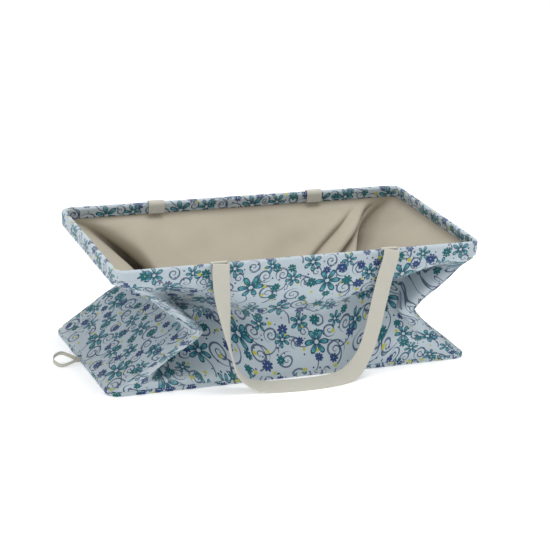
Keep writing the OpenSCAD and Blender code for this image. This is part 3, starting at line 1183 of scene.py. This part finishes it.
@dataclass
class Cloth:
    """The printed cloth and its lining, each one skin all the way round."""

    base: Outline
    rim: Rim
    folds: Folds
    base_top: float
    panel_columns: tuple[int, ...] = (170, 80, 170, 80)
    rows: int = 62

    def wall(self, t: np.ndarray, v: np.ndarray) -> np.ndarray:
        """Points on the outer face of the wall.

        Args:
            t: Distance walked round the bag.
            v: Height on the wall, 0 at the base and 1 under the hem.

        Returns:
            The points.
        """
        t, v = np.broadcast_arrays(t, v)
        long, short, length = self.base.long, self.base.short, self.base.length
        t = np.mod(t, length)
        on_front, on_back = t < long, (t >= long + short) & (t < 2 * long + short)
        left = np.where(on_front, t,
                        np.where(on_back, 2 * long + short - t, np.where(t < long + short, long, 0.0)))
        right = np.where(on_front, long - t,
                         np.where(on_back, t - long - short, np.where(t < long + short, 0.0, long)))
        low, _ = self.base.walk(t, 0.4 * MM)
        low = low + np.array([0.0, 0.0, self.base_top])
        high = self.rim.place(t, 1.0 * MM, -self.rim.hem_h)
        point = low + (high - low) * v[..., None]
        point[..., 0] += self.folds.pull(left, right, on_back) * self.folds.end_tent(left, v)
        tuck = np.where(on_front, self.folds.front_tuck(left, right, v), 0.0)
        tuck = np.where(on_back, -self.folds.back_tuck(left, right, v), tuck)
        point[..., 1] += tuck
        _, out = self.base.walk(t)
        return point + out * self.folds.wrinkles(t, v)[..., None]

    def around(self) -> np.ndarray:
        """Distances walked to each column, as a column vector; a column falls on each corner seam."""
        ends = self.seams()
        spans = [np.linspace(a, b, n, endpoint=False) for a, b,
                 n in zip(ends[:-1], ends[1:], self.panel_columns)]
        return np.concatenate(spans)[:, None]

    def draped(self) -> np.ndarray:
        """The wall's outer face on the cloth's grid, from the hem down, with every fold eased.

        Each of three passes replaces a point by a quarter of each neighbour and half of itself, first along
        the rows and then down the columns, whose ends stay where they are.

        Returns:
            The grid of points.
        """
        grid = self.wall(self.around(), np.linspace(1.0, 0.0, self.rows)[None, :])
        for _ in range(3):
            grid = 0.25 * (np.roll(grid, 1, 0) + np.roll(grid, -1, 0)) + 0.5 * grid
            grid[:, 1:-1] = 0.25 * (grid[:, 2:] + grid[:, :-2]) + 0.5 * grid[:, 1:-1]
        return grid

    def seams(self) -> np.ndarray:
        """Distances walked to the corner seams, with the first one again at the end."""
        return np.cumsum([0.0, self.base.long, self.base.short, self.base.long, self.base.short])

    def panel_uv(self, grid: np.ndarray, down: np.ndarray) -> np.ndarray:
        """Cloth coordinates of each quad's corners, cut at the seams as four panels.

        Along a panel each row is measured from the panel's middle, so folds don't stretch the print.

        Args:
            grid: Points of a closed loop of rows.
            down: Distance down the cloth to each point.

        Returns:
            Four u, v pairs for each quad.
        """
        steps = np.linalg.norm(np.roll(grid, -1, 0) - grid, axis=2)
        stops, seams = np.cumsum([0, *self.panel_columns]), self.seams()
        starts = []
        for first, last, a, b in zip(stops[:-1], stops[1:], seams[:-1], seams[1:]):
            walked = np.cumsum(steps[first:last], axis=0)
            middle = walked[(last - first) // 2 - 1]
            starts.append(walked - steps[first:last] - middle + (a + b) / 2)
        start = np.concatenate(starts)
        near, far = np.stack([start, down], axis=-1), np.stack([start + steps, np.roll(down, -1, 0)], axis=-1)
        corners = [near, far, np.roll(far, -1, 1), np.roll(near, -1, 1)]
        return np.stack(corners, axis=-2)


    def skin(self) -> tuple[np.ndarray, np.ndarray]:
        """The printed skin's grid.

        Hem profile from inside to outside, then the wall down to under the binding.

        Returns:
            The grid of points and the distance down the cloth to each row.
        """
        t = self.around()
        profile = self.rim.profile()
        hem = self.rim.place(t, profile[None, :, 0], profile[None, :, 1])
        wall = self.draped()[:, 1:]
        foot, _ = self.base.walk(t, 1.0 * MM)
        foot = foot + np.array([0.0, 0.0, self.base_top - 4.0 * MM])
        grid = np.concatenate([hem, wall, foot], axis=1)
        return grid, self.run_down(grid)

    @staticmethod
    def run_down(grid: np.ndarray) -> np.ndarray:
        """Distance down the cloth to each point, column by column, so that the print keeps its scale."""
        steps = np.linalg.norm(np.diff(grid, axis=1), axis=2)
        return -np.pad(np.cumsum(steps, axis=1), ((0, 0), (1, 0)))

    @staticmethod
    def facing(grid: np.ndarray) -> np.ndarray:
        """Outward normals of a grid that wraps in its first direction.

        The cross product of the two slopes.
        """
        along = np.roll(grid, -1, 0) - np.roll(grid, 1, 0)
        down = np.gradient(grid, axis=1)
        return unit(np.cross(down, along))

    def thick_skin(self, name: str, grid: np.ndarray, down: np.ndarray, thickness: float) -> bpy.types.Object:
        """A closed sheet: the grid, a copy of it further in, and rims that join the two edges.

        Args:
            name: The object's name.
            grid: Points of the outer face.
            down: Distance down the cloth to each row.
            thickness: Through the cloth.

        Returns:
            The object, with cloth coordinates and a crease mask.
        """
        inner = grid - self.facing(grid) * thickness
        loop = np.concatenate([grid, inner[:, ::-1]], axis=1)
        cols, rows = loop.shape[:2]
        faces = grid_faces(cols, rows, wrap_rows=True, wrap_cols=True)[:, ::-1]
        outer = np.concatenate([grid, grid[:, ::-1]], axis=1)
        uv = self.panel_uv(outer, np.concatenate([down, down[:, ::-1]], axis=1))[:, :, ::-1].reshape(-1, 2)
        obj = make_mesh(name, loop, faces, uv)
        mask = self.crease_mask(grid)
        layer = obj.data.attributes.new("crease", "FLOAT", "POINT")
        layer.data.foreach_set("value",
                               np.concatenate([mask, mask[:, ::-1]], axis=1).astype(np.float32).ravel())
        return obj

    def crease_mask(self, grid: np.ndarray) -> np.ndarray:
        """How sharply the cloth turns at each point, 0 to 1.

        One minus the cosine between neighbouring normals.
        """
        normal = self.facing(grid)
        across = 1.0 - (np.roll(normal, 2, 0) * np.roll(normal, -2, 0)).sum(-1)
        ahead, behind = np.roll(normal, -2, 1), np.roll(normal, 2, 1)
        along = 1.0 - (ahead * behind).sum(-1)
        along[:, :2] = along[:, -2:] = 0.0
        return np.clip(across + along, 0.0, 1.0)

    def build_outer(self) -> bpy.types.Object:
        """Make the printed skin and set it between base and rim."""
        grid, down = self.skin()
        obj = self.thick_skin("printed_cloth", grid, down, 0.8 * MM)
        nodes = [f"rim_hem_{s}" for s in ("front", "back", "left", "right")]
        nodes += [f"{s}_{h}_panel" for s in ("front", "back", "left", "right") for h in ("lower", "upper")]
        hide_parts(*nodes)
        return self.hang(obj)

    def build_lining(self) -> bpy.types.Object:
        """Make the lining, just inside the printed skin from under the hem's edge down to the base."""
        t = self.around()
        wall = self.draped()
        near = (1.9 - 0.5 * self.crease_mask(wall))[..., None] * MM
        grid = wall - self.facing(wall) * near
        top = self.rim.place(t, 3.0 * MM, np.array([[-12.0, -16.0, -20.0]]) * MM)
        foot, _ = self.base.walk(t, np.array([[4.0, 9.0]]) * MM)
        foot = foot + np.array([0.0, 0.0, 0.6 * MM + self.base_top])
        grid = np.concatenate([top, grid[:, 1:-1], foot], axis=1)
        obj = self.thick_skin("lining_cloth", grid, self.run_down(grid), 0.5 * MM)
        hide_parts(*[f"{s}_{h}_lining" for s in ("front", "back", "left", "right")
                           for h in ("lower", "upper")])
        return self.hang(obj)

    @staticmethod
    def hang(obj: bpy.types.Object) -> bpy.types.Object:
        """Bake the cloth's transform into its mesh."""
        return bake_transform(obj)

    def build_welts(self) -> list[bpy.types.Object]:
        """A thin covered cord down each corner seam."""
        turn = np.linspace(0.0, TAU, 8, endpoint=False)
        section = np.stack([np.cos(turn), np.sin(turn)], axis=1) * 0.9 * MM
        grid, first_columns = self.draped(), np.cumsum([0, *self.panel_columns[:3]])
        welts = []
        for name, column, t in zip(("front_left", "front_right", "back_right", "back_left"), first_columns,
                                   self.seams()):
            path = grid[column, -2:0:-1]
            _, out = self.base.walk(np.full(len(path), t))
            welt = sweep(f"corner_welt_{name}", path + out * 0.5 * MM, out, section)
            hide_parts(f"corner_seam_{name}")
            welts.append(self.hang(welt))
        return welts


@dataclass
class HemTrim:
    """The stitching of the hem and the wire inside it."""

    rim: Rim

    def build_stitching(self) -> list[bpy.types.Object]:
        """One row of stitches inside the hem and one outside, each a little above its lower edge."""
        t = np.linspace(0.0, self.rim.outline.length, 700, endpoint=False)
        rows = []
        for name, inset, way in (("inner", 5.1 * MM, -1.0), ("outer", 0.75 * MM, 1.0)):
            path = self.rim.place(t, inset, -15.2 * MM)
            _, out = self.rim.outline.walk(t)
            row = seam_stitches(f"hem_stitching_{name}", path, out * way, 3.6 * MM, 2.7 * MM, closed=True)
            rows.append(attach(row, "rim"))
        return rows

    def build_wires(self) -> list[bpy.types.Object]:
        """Two bent wires whose ends meet in a crimped sleeve at the middle of each long side."""
        turn = np.linspace(0.0, TAU, 12, endpoint=False)
        circle = np.stack([np.cos(turn), np.sin(turn)], axis=1)
        long, length = self.rim.outline.long, self.rim.outline.length
        middle_front, middle_back = long / 2, length - self.rim.outline.short - long / 2
        spans = {"right": (middle_front, middle_back), "left": (middle_back, middle_front + length)}
        made = []
        for name, (start, end) in spans.items():
            path = self.rim.place(np.linspace(start + 0.4 * MM, end - 0.4 * MM, 260), self.rim.wire_inset,
                                  -self.rim.wire_inset)
            wire = sweep(f"rim_wire_rod_{name}", path, np.tile([0.0, 0.0, 1.0], (260, 1)),
                         circle * self.rim.wire_r)
            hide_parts(f"rim_wire_{name}")
            made.append(wire)
        for name, centre in (("front", middle_front), ("back", middle_back)):
            t = np.linspace(-1.0, 1.0, 60)
            crimp = 1.0 - 0.12 * (hump(t, -0.55, 0.09) + hump(t, 0.55, 0.09) + hump(t, 0.0, 0.09))
            path = self.rim.place(centre + t * 18 * MM, self.rim.wire_inset, -self.rim.wire_inset)
            sleeve = self.crimped(f"wire_sleeve_tube_{name}", path, circle * 3.0 * MM, crimp)
            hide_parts(f"wire_sleeve_{name}")
            made.append(sleeve)
        for piece in made:
            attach(piece, "rim")
        return made

    @staticmethod
    def crimped(name: str, path: np.ndarray, section: np.ndarray, girth: np.ndarray) -> bpy.types.Object:
        """A swept tube whose section is scaled by girth at each point of the path."""
        obj = sweep(name, path, np.tile([0.0, 0.0, 1.0], (len(path), 1)), section)
        points = np.zeros(len(obj.data.vertices) * 3)
        obj.data.vertices.foreach_get("co", points)
        points = points.reshape(-1, 3)
        body = len(path) * len(section)
        centre = np.repeat(path, len(section), axis=0)
        points[:body] = centre + (points[:body] - centre) * np.repeat(girth, len(section))[:, None]
        obj.data.vertices.foreach_set("co", points.astype(np.float32).ravel())
        return obj


# -------------------------------------------------------------------------------------------- base


@dataclass
class Base:
    """The stiff floor of the bag: a board in a cloth cover, lined on top and bound at its edge."""

    outline: Outline
    top: float
    cover_t: float = 1.5 * MM

    def plate(self, name: str, low: float, high: float, inset: float, crown: float) -> bpy.types.Object:
        """A thin soft plate with rounded edges, closed on both faces.

        A ring at share k of the way out is the outline scaled about the middle, and the faces rise by
        crown * (1 - k^2).

        Args:
            name: The object's name.
            low: Lower face.
            high: Upper face.
            inset: In from the outline.
            crown: Rise of the upper face in the middle.

        Returns:
            The object, with cloth coordinates in metres.
        """
        t = np.arange(240) * self.outline.length / 240
        edge, _ = self.outline.walk(t, inset)
        share = np.concatenate([np.linspace(0.004, 0.996, 26), [1.0], np.linspace(0.996, 0.004, 26)])
        top = np.where(np.arange(53) < 26, 1.0, 0.0)
        z = low + (high - low) * np.where(np.arange(53) == 26, 0.5, top) + crown * (1 - share**2) * top
        quilt = 0.25 * MM * np.sin(edge[:, 0, None] * 60 * share) * np.sin(edge[:, 1,
                                                                                None] * 70 * share) * top
        points = edge[:, None] * share[None, :, None]
        points[..., 2] = z[None] + quilt
        faces = grid_faces(240, 53, wrap_rows=True)
        hub = np.array([[0, 0, points[:, 0, 2].mean()], [0, 0, points[:, -1, 2].mean()]])
        flat = points.reshape(-1, 3)
        obj = make_mesh(name, np.vstack([flat, hub]), faces, flat[faces.ravel()][:, :2])
        ring = np.arange(240)
        first = np.stack([ring * 53, np.roll(ring, -1) * 53, np.full(240, len(flat))], axis=1)
        last = np.stack([np.roll(ring, -1) * 53 + 52, ring * 53 + 52, np.full(240, len(flat) + 1)], axis=1)
        add_caps(obj, first, last)
        return obj

    def build_cloths(self) -> tuple[bpy.types.Object, bpy.types.Object]:
        """The cover under the board and the lining over it."""
        inset = 2.0 * MM
        cover = self.plate("base_cover_cloth", 0.1 * MM, self.cover_t - 0.05 * MM, inset, 0.0)
        lining = self.plate("base_lining_cloth", self.top - self.cover_t + 0.05 * MM, self.top + 0.1 * MM,
                            inset, 1.2 * MM)
        for piece, node in ((cover, "bottom_cover"), (lining, "bottom_lining")):
            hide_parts(node)
            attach(piece, "base")
        return cover, lining

    def build_board(self) -> bpy.types.Object:
        """The stiff board between the two cloths."""
        board = self.plate("base_board_panel", self.cover_t, self.top - self.cover_t, 2.6 * MM, 0.0)
        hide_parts("bottom_board")
        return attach(board, "base")

    def build_binding(self) -> tuple[bpy.types.Object, bpy.types.Object]:
        """The strip of cloth folded round the base's edge, and its stitching."""
        outside = np.array([[5.4, 0.15], [0.6, 0.15], [-0.3, 0.7], [-0.7, 2.0], [-0.8, 3.6], [-0.6, 5.4],
                            [0.0, 6.7], [1.2, 7.3], [5.4, 7.3]])
        inside = np.array([[5.4, 6.7], [1.4, 6.6], [0.5, 5.8], [0.1, 3.6], [0.4, 1.4], [1.4, 0.75],
                           [5.4, 0.75]])
        profile = np.vstack([outside, inside]) * MM
        t = np.arange(560) * self.outline.length / 560
        point, _ = self.outline.walk(t[:, None], profile[None, :, 0])
        point[..., 2] = profile[None, :, 1]
        faces = grid_faces(560, len(profile), wrap_rows=True, wrap_cols=True)
        around = np.linalg.norm(np.diff(profile, axis=0, append=profile[:1]), axis=1)
        uv = grid_uv(np.arange(561) * self.outline.length / 560, np.concatenate([[0.0], np.cumsum(around)]))
        binding = make_mesh("base_binding_cloth", point, faces[:, ::-1],
                            uv.reshape(-1, 4, 2)[:, ::-1].reshape(-1, 2))
        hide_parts("base_binding")
        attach(binding, "base")
        path, out = self.outline.walk(t, -0.7 * MM)
        path[:, 2] = 5.2 * MM
        row = seam_stitches("binding_stitching", path, out, 3.6 * MM, 2.6 * MM, closed=True)
        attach(row, "base")
        return binding, row


# ----------------------------------------------------------------------------------------- handles


@dataclass
class Handle:
    """One webbing handle: two ends sewn inside the hem, and a free loop that hangs to the floor."""

    side: Side
    rim: Rim
    fold: Vector
    width: float = 25.0 * MM
    thickness: float = 1.7 * MM
    half_span: float = 130.0 * MM

    @property
    def name(self) -> str:
        """front or back."""
        return self.side.name.lower()

    def edge(self) -> tuple[float, float]:
        """The hem's outer edge: its y and the height of its top."""
        y = self.side.value * self.rim.outline.half_w
        return y + self.rim.shift_y, self.rim.top + self.rim.slope * y

    def build_tabs(self) -> list[tuple[bpy.types.Object, bpy.types.Object]]:
        """The two sewn ends.

        Up the hem's inner face, over its top and out to the fold, each with boxed stitching.
        """
        y, z = self.edge()
        s = self.side.value
        drop = self.fold.z - z
        inner = [(8.9, -17.2), (9.3, -13.0), (9.6, -7.0), (9.3, -2.6), (7.0, 0.6), (4.0, 1.35), (1.0, 0.6)]
        over = [(-1.6, max(-1.2, drop / MM - 0.2)),
                (-4.6, drop / MM + 1.0)] if drop > -3 * MM else [(-1.2, -2.6), (-1.9, -6.0),
                                                                 (-4.0, drop / MM + 0.6)]
        profile = smooth_path([(-s * a * MM, b * MM) for a, b in inner + over], 60)
        tabs = []
        for x, end in ((-self.half_span, "left"), (self.half_span, "right")):
            path = np.stack([np.full(60, x), y + profile[:, 0], z + profile[:, 1]], axis=1)
            facing = np.cross(unit(np.gradient(path, axis=0)), np.array([s * 1.0, 0.0, 0.0]))
            tab = sweep(f"{self.name}_tab_webbing_{end}", path, facing,
                        band_section(self.width, self.thickness))
            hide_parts(f"handle_tab_{self.name}_{end}")
            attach(tab, "rim")
            box = self.box_stitching(f"{self.name}_tab_stitching_{end}", x, y - s * 10.45 * MM, z)
            tabs.append((tab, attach(box, "rim")))
        return tabs

    def box_stitching(self, name: str, x: float, y: float, z: float) -> bpy.types.Object:
        """A sewn box with a cross in it, on the tab's inner face."""
        a, low, high = 9.6 * MM, -15.4 * MM, -4.6 * MM
        corners = [(-a, low), (a, low), (a, high), (-a, high), (-a, low), (a, high)]
        second = [(-a, high), (a, low)]
        centres, along = [], []
        for line in (corners, second):
            for (x1, z1), (x2, z2) in zip(line[:-1], line[1:]):
                count = int(math.hypot(x2 - x1, z2 - z1) / (2.6 * MM))
                k = (np.arange(count) + 0.5)[:, None] / count
                centres.append(np.array([x + x1, y, z + z1]) + k * np.array([x2 - x1, 0.0, z2 - z1]))
                along.append(np.tile([x2 - x1, 0.0, z2 - z1], (count, 1)))
        centres, along = np.vstack(centres), np.vstack(along)
        out = np.tile([0.0, -float(self.side.value), 0.0], (len(centres), 1))
        return stitches(name, centres, along, out, 1.9 * MM, 0.32 * MM)

    def route(self) -> tuple[np.ndarray, np.ndarray]:
        """The loop's centreline and the way that its outer face looks.

        The loop is a spline through given points. Its face looks outwards; twist turns it about the
        vertical and lean tips it up where it lies on the floor.

        Returns:
            Points and facing directions.
        """
        s = self.side.value
        top, y = self.fold.z, self.fold.y
        if self.side is Side.FRONT:
            left = [(-130, 0, 0), (-131, 3, -14), (-129, 4, -40), (-122, 3, -80), (-113, 2, -125),
                    (-103, 3, -158), (-89, 5, -175)]
            foot = [(-68, 9, -184), (-38, 14, -185.2), (0, 16.5, -185.4), (34, 15, -185.2), (62, 10, -183),
                    (82, 5, -173)]
            right = [(97, 3, -148), (106, 2, -118), (112, 3, -82), (119, 4, -42), (127, 3, -14), (130, 0, 0)]
            twist, start, dip = 72.0, 0.02, 0.27
        else:
            left = [(-130, 0, 0), (-129, 5, -14), (-126, 11, -42), (-120, 17, -80), (-112, 21, -122),
                    (-100, 25, -156), (-80, 29, -174)]
            foot = [(-52, 32, -184), (-20, 35, -185.3), (16, 35, -185.3), (48, 32, -184.0), (78, 29, -174)]
            right = [(99, 25, -154), (110, 21, -120), (118, 16, -78), (125, 10, -40), (129, 5, -14),
                     (130, 0, 0)]
            twist, start, dip = -34.0, 0.58, 0.74
        points = [(a * MM, y + s * b * MM, top + c * MM) for a, b, c in left + foot + right]
        path = smooth_path(points, 260)
        k = np.linspace(0.0, 1.0, 260)
        spin = np.radians(twist) * ease(k, start, dip) * (1 - ease(k, dip + 0.06, dip + 0.19))
        lean = np.radians(68.0) * ease(k, 0.27, 0.42) * (1 - ease(k, 0.58, 0.74))
        facing = np.stack([np.sin(spin), s * np.cos(spin) * np.cos(lean), np.cos(spin) * np.sin(lean)],
                          axis=1)
        path[:, 2] = np.maximum(path[:, 2], self.width / 2 * np.cos(lean) + 0.4 * MM)
        return path, facing

    def build_loop(self) -> bpy.types.Object:
        """Sweep the webbing along its route."""
        path, facing = self.route()
        loop = sweep(f"{self.name}_handle_webbing", path, facing, band_section(self.width, self.thickness))
        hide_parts(f"{self.name}_handle_strap", f"{self.name}_handle_folds")
        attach(loop, f"{self.name}_handle")
        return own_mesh(loop)


@dataclass
class PullLoop:
    """A small loop of tape sewn into the binding at the left end."""

    root: Vector
    reach: float
    half_w: float
    tape_w: float = 7.0 * MM
    tape_t: float = 1.1 * MM

    def build(self) -> bpy.types.Object:
        """Sweep the tape once round a teardrop, half turning it on the way."""
        shape = [(0.0, 0.05), (-0.22, -0.35), (-0.48, -0.80), (-0.76, -0.95), (-0.95, -0.50),
                 (-1.0, 0.05), (-0.90, 0.62), (-0.66, 0.92), (-0.40, 0.62), (-0.18, 0.28), (0.0, -0.02)]
        points = [(self.root.x + a * (self.reach - 1.5 * MM), self.root.y + b * (self.half_w - 1.2 * MM),
                   self.root.z + (4.0 + 6.5 * b) * min(1.0, -2 * a) * MM) for a, b in shape]
        path = smooth_path(points, 120)
        k = np.linspace(0.0, 1.0, 120)
        tangent = unit(np.gradient(path, axis=0))
        outward = np.cross(tangent, np.array([0.0, 0.0, 1.0]))
        tip = np.radians(28.0) * np.sin(TAU * k)
        facing = unit(outward) * np.cos(tip)[:, None] + np.array([0.0, 0.0, 1.0]) * np.sin(tip)[:, None]
        loop = sweep("pull_loop_tape", path, facing, band_section(self.tape_w, self.tape_t, 3, 7))
        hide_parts("pull_loop")
        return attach(loop, "pull_loop")


# ------------------------------------------------------------------------------------------- scene


@dataclass
class Studio:
    """A pale floor under soft light, and the camera."""

    place: tuple[float, float, float] = (-0.9154, -2.186, 0.8909)
    yaw: float = 23.18
    pitch: float = 18.2
    roll: float = 2.55
    lens: float = 109.2
    sensor: float = 36.0
    floor_half: float = 14.0
    floor_tone: float = 0.93
    floor_glow: float = 0.30
    surround: float = 0.68

    def build_camera(self) -> None:
        """Set the camera: it looks along yaw from +Y and pitch below the horizon, then rolls."""
        yaw, pitch, roll = (math.radians(a) for a in (self.yaw, self.pitch, self.roll))
        ahead = Vector((math.sin(yaw) * math.cos(pitch), math.cos(yaw) * math.cos(pitch), -math.sin(pitch)))
        level = Vector((math.cos(yaw), -math.sin(yaw), 0.0))
        upright = level.cross(ahead)
        right = math.cos(roll) * level + math.sin(roll) * upright
        up = -math.sin(roll) * level + math.cos(roll) * upright
        data = bpy.data.cameras.new("camera")
        data.lens, data.sensor_width = self.lens, self.sensor
        camera = bpy.data.objects.new("camera", data)
        turn = Matrix((right, up, -ahead)).transposed().to_4x4()
        camera.matrix_world = Matrix.Translation(self.place) @ turn
        bpy.context.scene.collection.objects.link(camera)
        bpy.context.scene.camera = camera

    def build_floor(self) -> None:
        """A wide white floor."""
        corners = np.array([[-1, -1, 0], [1, -1, 0], [1, 1, 0], [-1, 1, 0]], float) * self.floor_half
        floor = make_mesh("floor", corners, np.array([[0, 1, 2, 3]]))
        mat, _, shader = new_material("white floor")
        shader.inputs["Base Color"].default_value = (self.floor_tone, self.floor_tone, self.floor_tone, 1.0)
        shader.inputs["Roughness"].default_value = 0.9
        shader.inputs["Specular IOR Level"].default_value = 0.1
        shader.inputs["Emission Color"].default_value = (1.0, 1.0, 1.0, 1.0)
        shader.inputs["Emission Strength"].default_value = self.floor_glow
        floor.data.materials.append(mat)

    def build_lights(self) -> None:
        """An even white surround, a large soft light from the front right and a weaker one from the left."""
        world = bpy.data.worlds.new("surround")
        bpy.context.scene.world = world
        world.use_nodes = True
        world.node_tree.nodes["Background"].inputs["Color"].default_value = (1.0, 1.0, 1.0, 1.0)
        world.node_tree.nodes["Background"].inputs["Strength"].default_value = self.surround
        bpy.context.scene.view_settings.view_transform = "Standard"
        for name, at, size, watts in (("key", (0.35, -0.15, 2.9), 1.3, 44.0),
                                      ("fill", (-2.2, -0.6, 1.8), 1.6, 10.0)):
            data = bpy.data.lights.new(name, "AREA")
            data.size, data.energy = size, watts
            light = bpy.data.objects.new(name, data)
            aim = (-Vector(at)).to_track_quat("-Z", "Y").to_matrix().to_4x4()
            light.matrix_world = Matrix.Translation(at) @ aim
            bpy.context.scene.collection.objects.link(light)


def measured() -> tuple[Outline, Rim]:
    """Read the base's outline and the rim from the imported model.

    Returns:
        The base's outline and the rim.
    """
    low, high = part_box("base_binding")
    front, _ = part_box("rim_hem_front")
    _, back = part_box("rim_hem_back")
    _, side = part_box("rim_hem_right")
    corner = 18 * MM
    proud = 0.8 * MM
    base = Outline((high.x - low.x) / 2 - proud, (high.y - low.y) / 2 - proud, corner)
    rim_outline = Outline(side.x, (back.y - front.y) / 2, corner)
    return base, Rim(rim_outline, (back.y + front.y) / 2, back.z)


def main() -> None:
    """Build the bag piece by piece and report each one."""
    logging.basicConfig(level=logging.INFO, format="%(name)s: %(message)s")
    studio = Studio()
    studio.build_camera()
    studio.build_floor()
    studio.build_lights()
    base_outline, rim = measured()
    finishes = Wardrobe(tile=base_outline.length / TILES_ROUND)
    _, board_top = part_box("bottom_lining")

    cloth = Cloth(base_outline, rim, Folds(), base_top=board_top.z + WALL_LIFT)
    pieces = [dress(cloth.build_outer(), finishes.cloth)]
    pieces.append(dress(cloth.build_lining(), finishes.lining))
    pieces += [dress(welt, finishes.binding) for welt in cloth.build_welts()]

    trim = HemTrim(rim)
    pieces += [dress(row, finishes.thread) for row in trim.build_stitching()]
    pieces += [dress(wire, finishes.steel) for wire in trim.build_wires()]

    base = Base(base_outline, board_top.z)
    cover, lining = base.build_cloths()
    binding, row = base.build_binding()
    pieces += [dress(cover, finishes.binding), dress(lining, finishes.lining)]
    pieces += [dress(binding, finishes.binding), dress(row, finishes.thread)]
    pieces.append(dress(base.build_board(), finishes.board))

    for side in Side:
        joint = next(j for j in frame["joints"] if j["name"] == f"{side.name.lower()}_handle_swing")
        handle = Handle(side, rim, Vector(joint["pos_m"]))
        for tab, box in handle.build_tabs():
            pieces += [dress(tab, finishes.webbing), dress(box, finishes.thread)]
        pieces.append(dress(handle.build_loop(), finishes.webbing))

    low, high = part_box("pull_loop")
    pull = PullLoop(Vector((high.x, 0.0, LOOP_HEIGHT)), high.x - low.x, (high.y - low.y) / 2)
    pieces.append(dress(pull.build(), finishes.webbing))

    for piece in pieces:
        LOG.info("%s: %d faces, finish %s", piece.name, len(piece.data.polygons),
                 piece.data.materials[0].name)


if __name__ == "__main__":
    main()
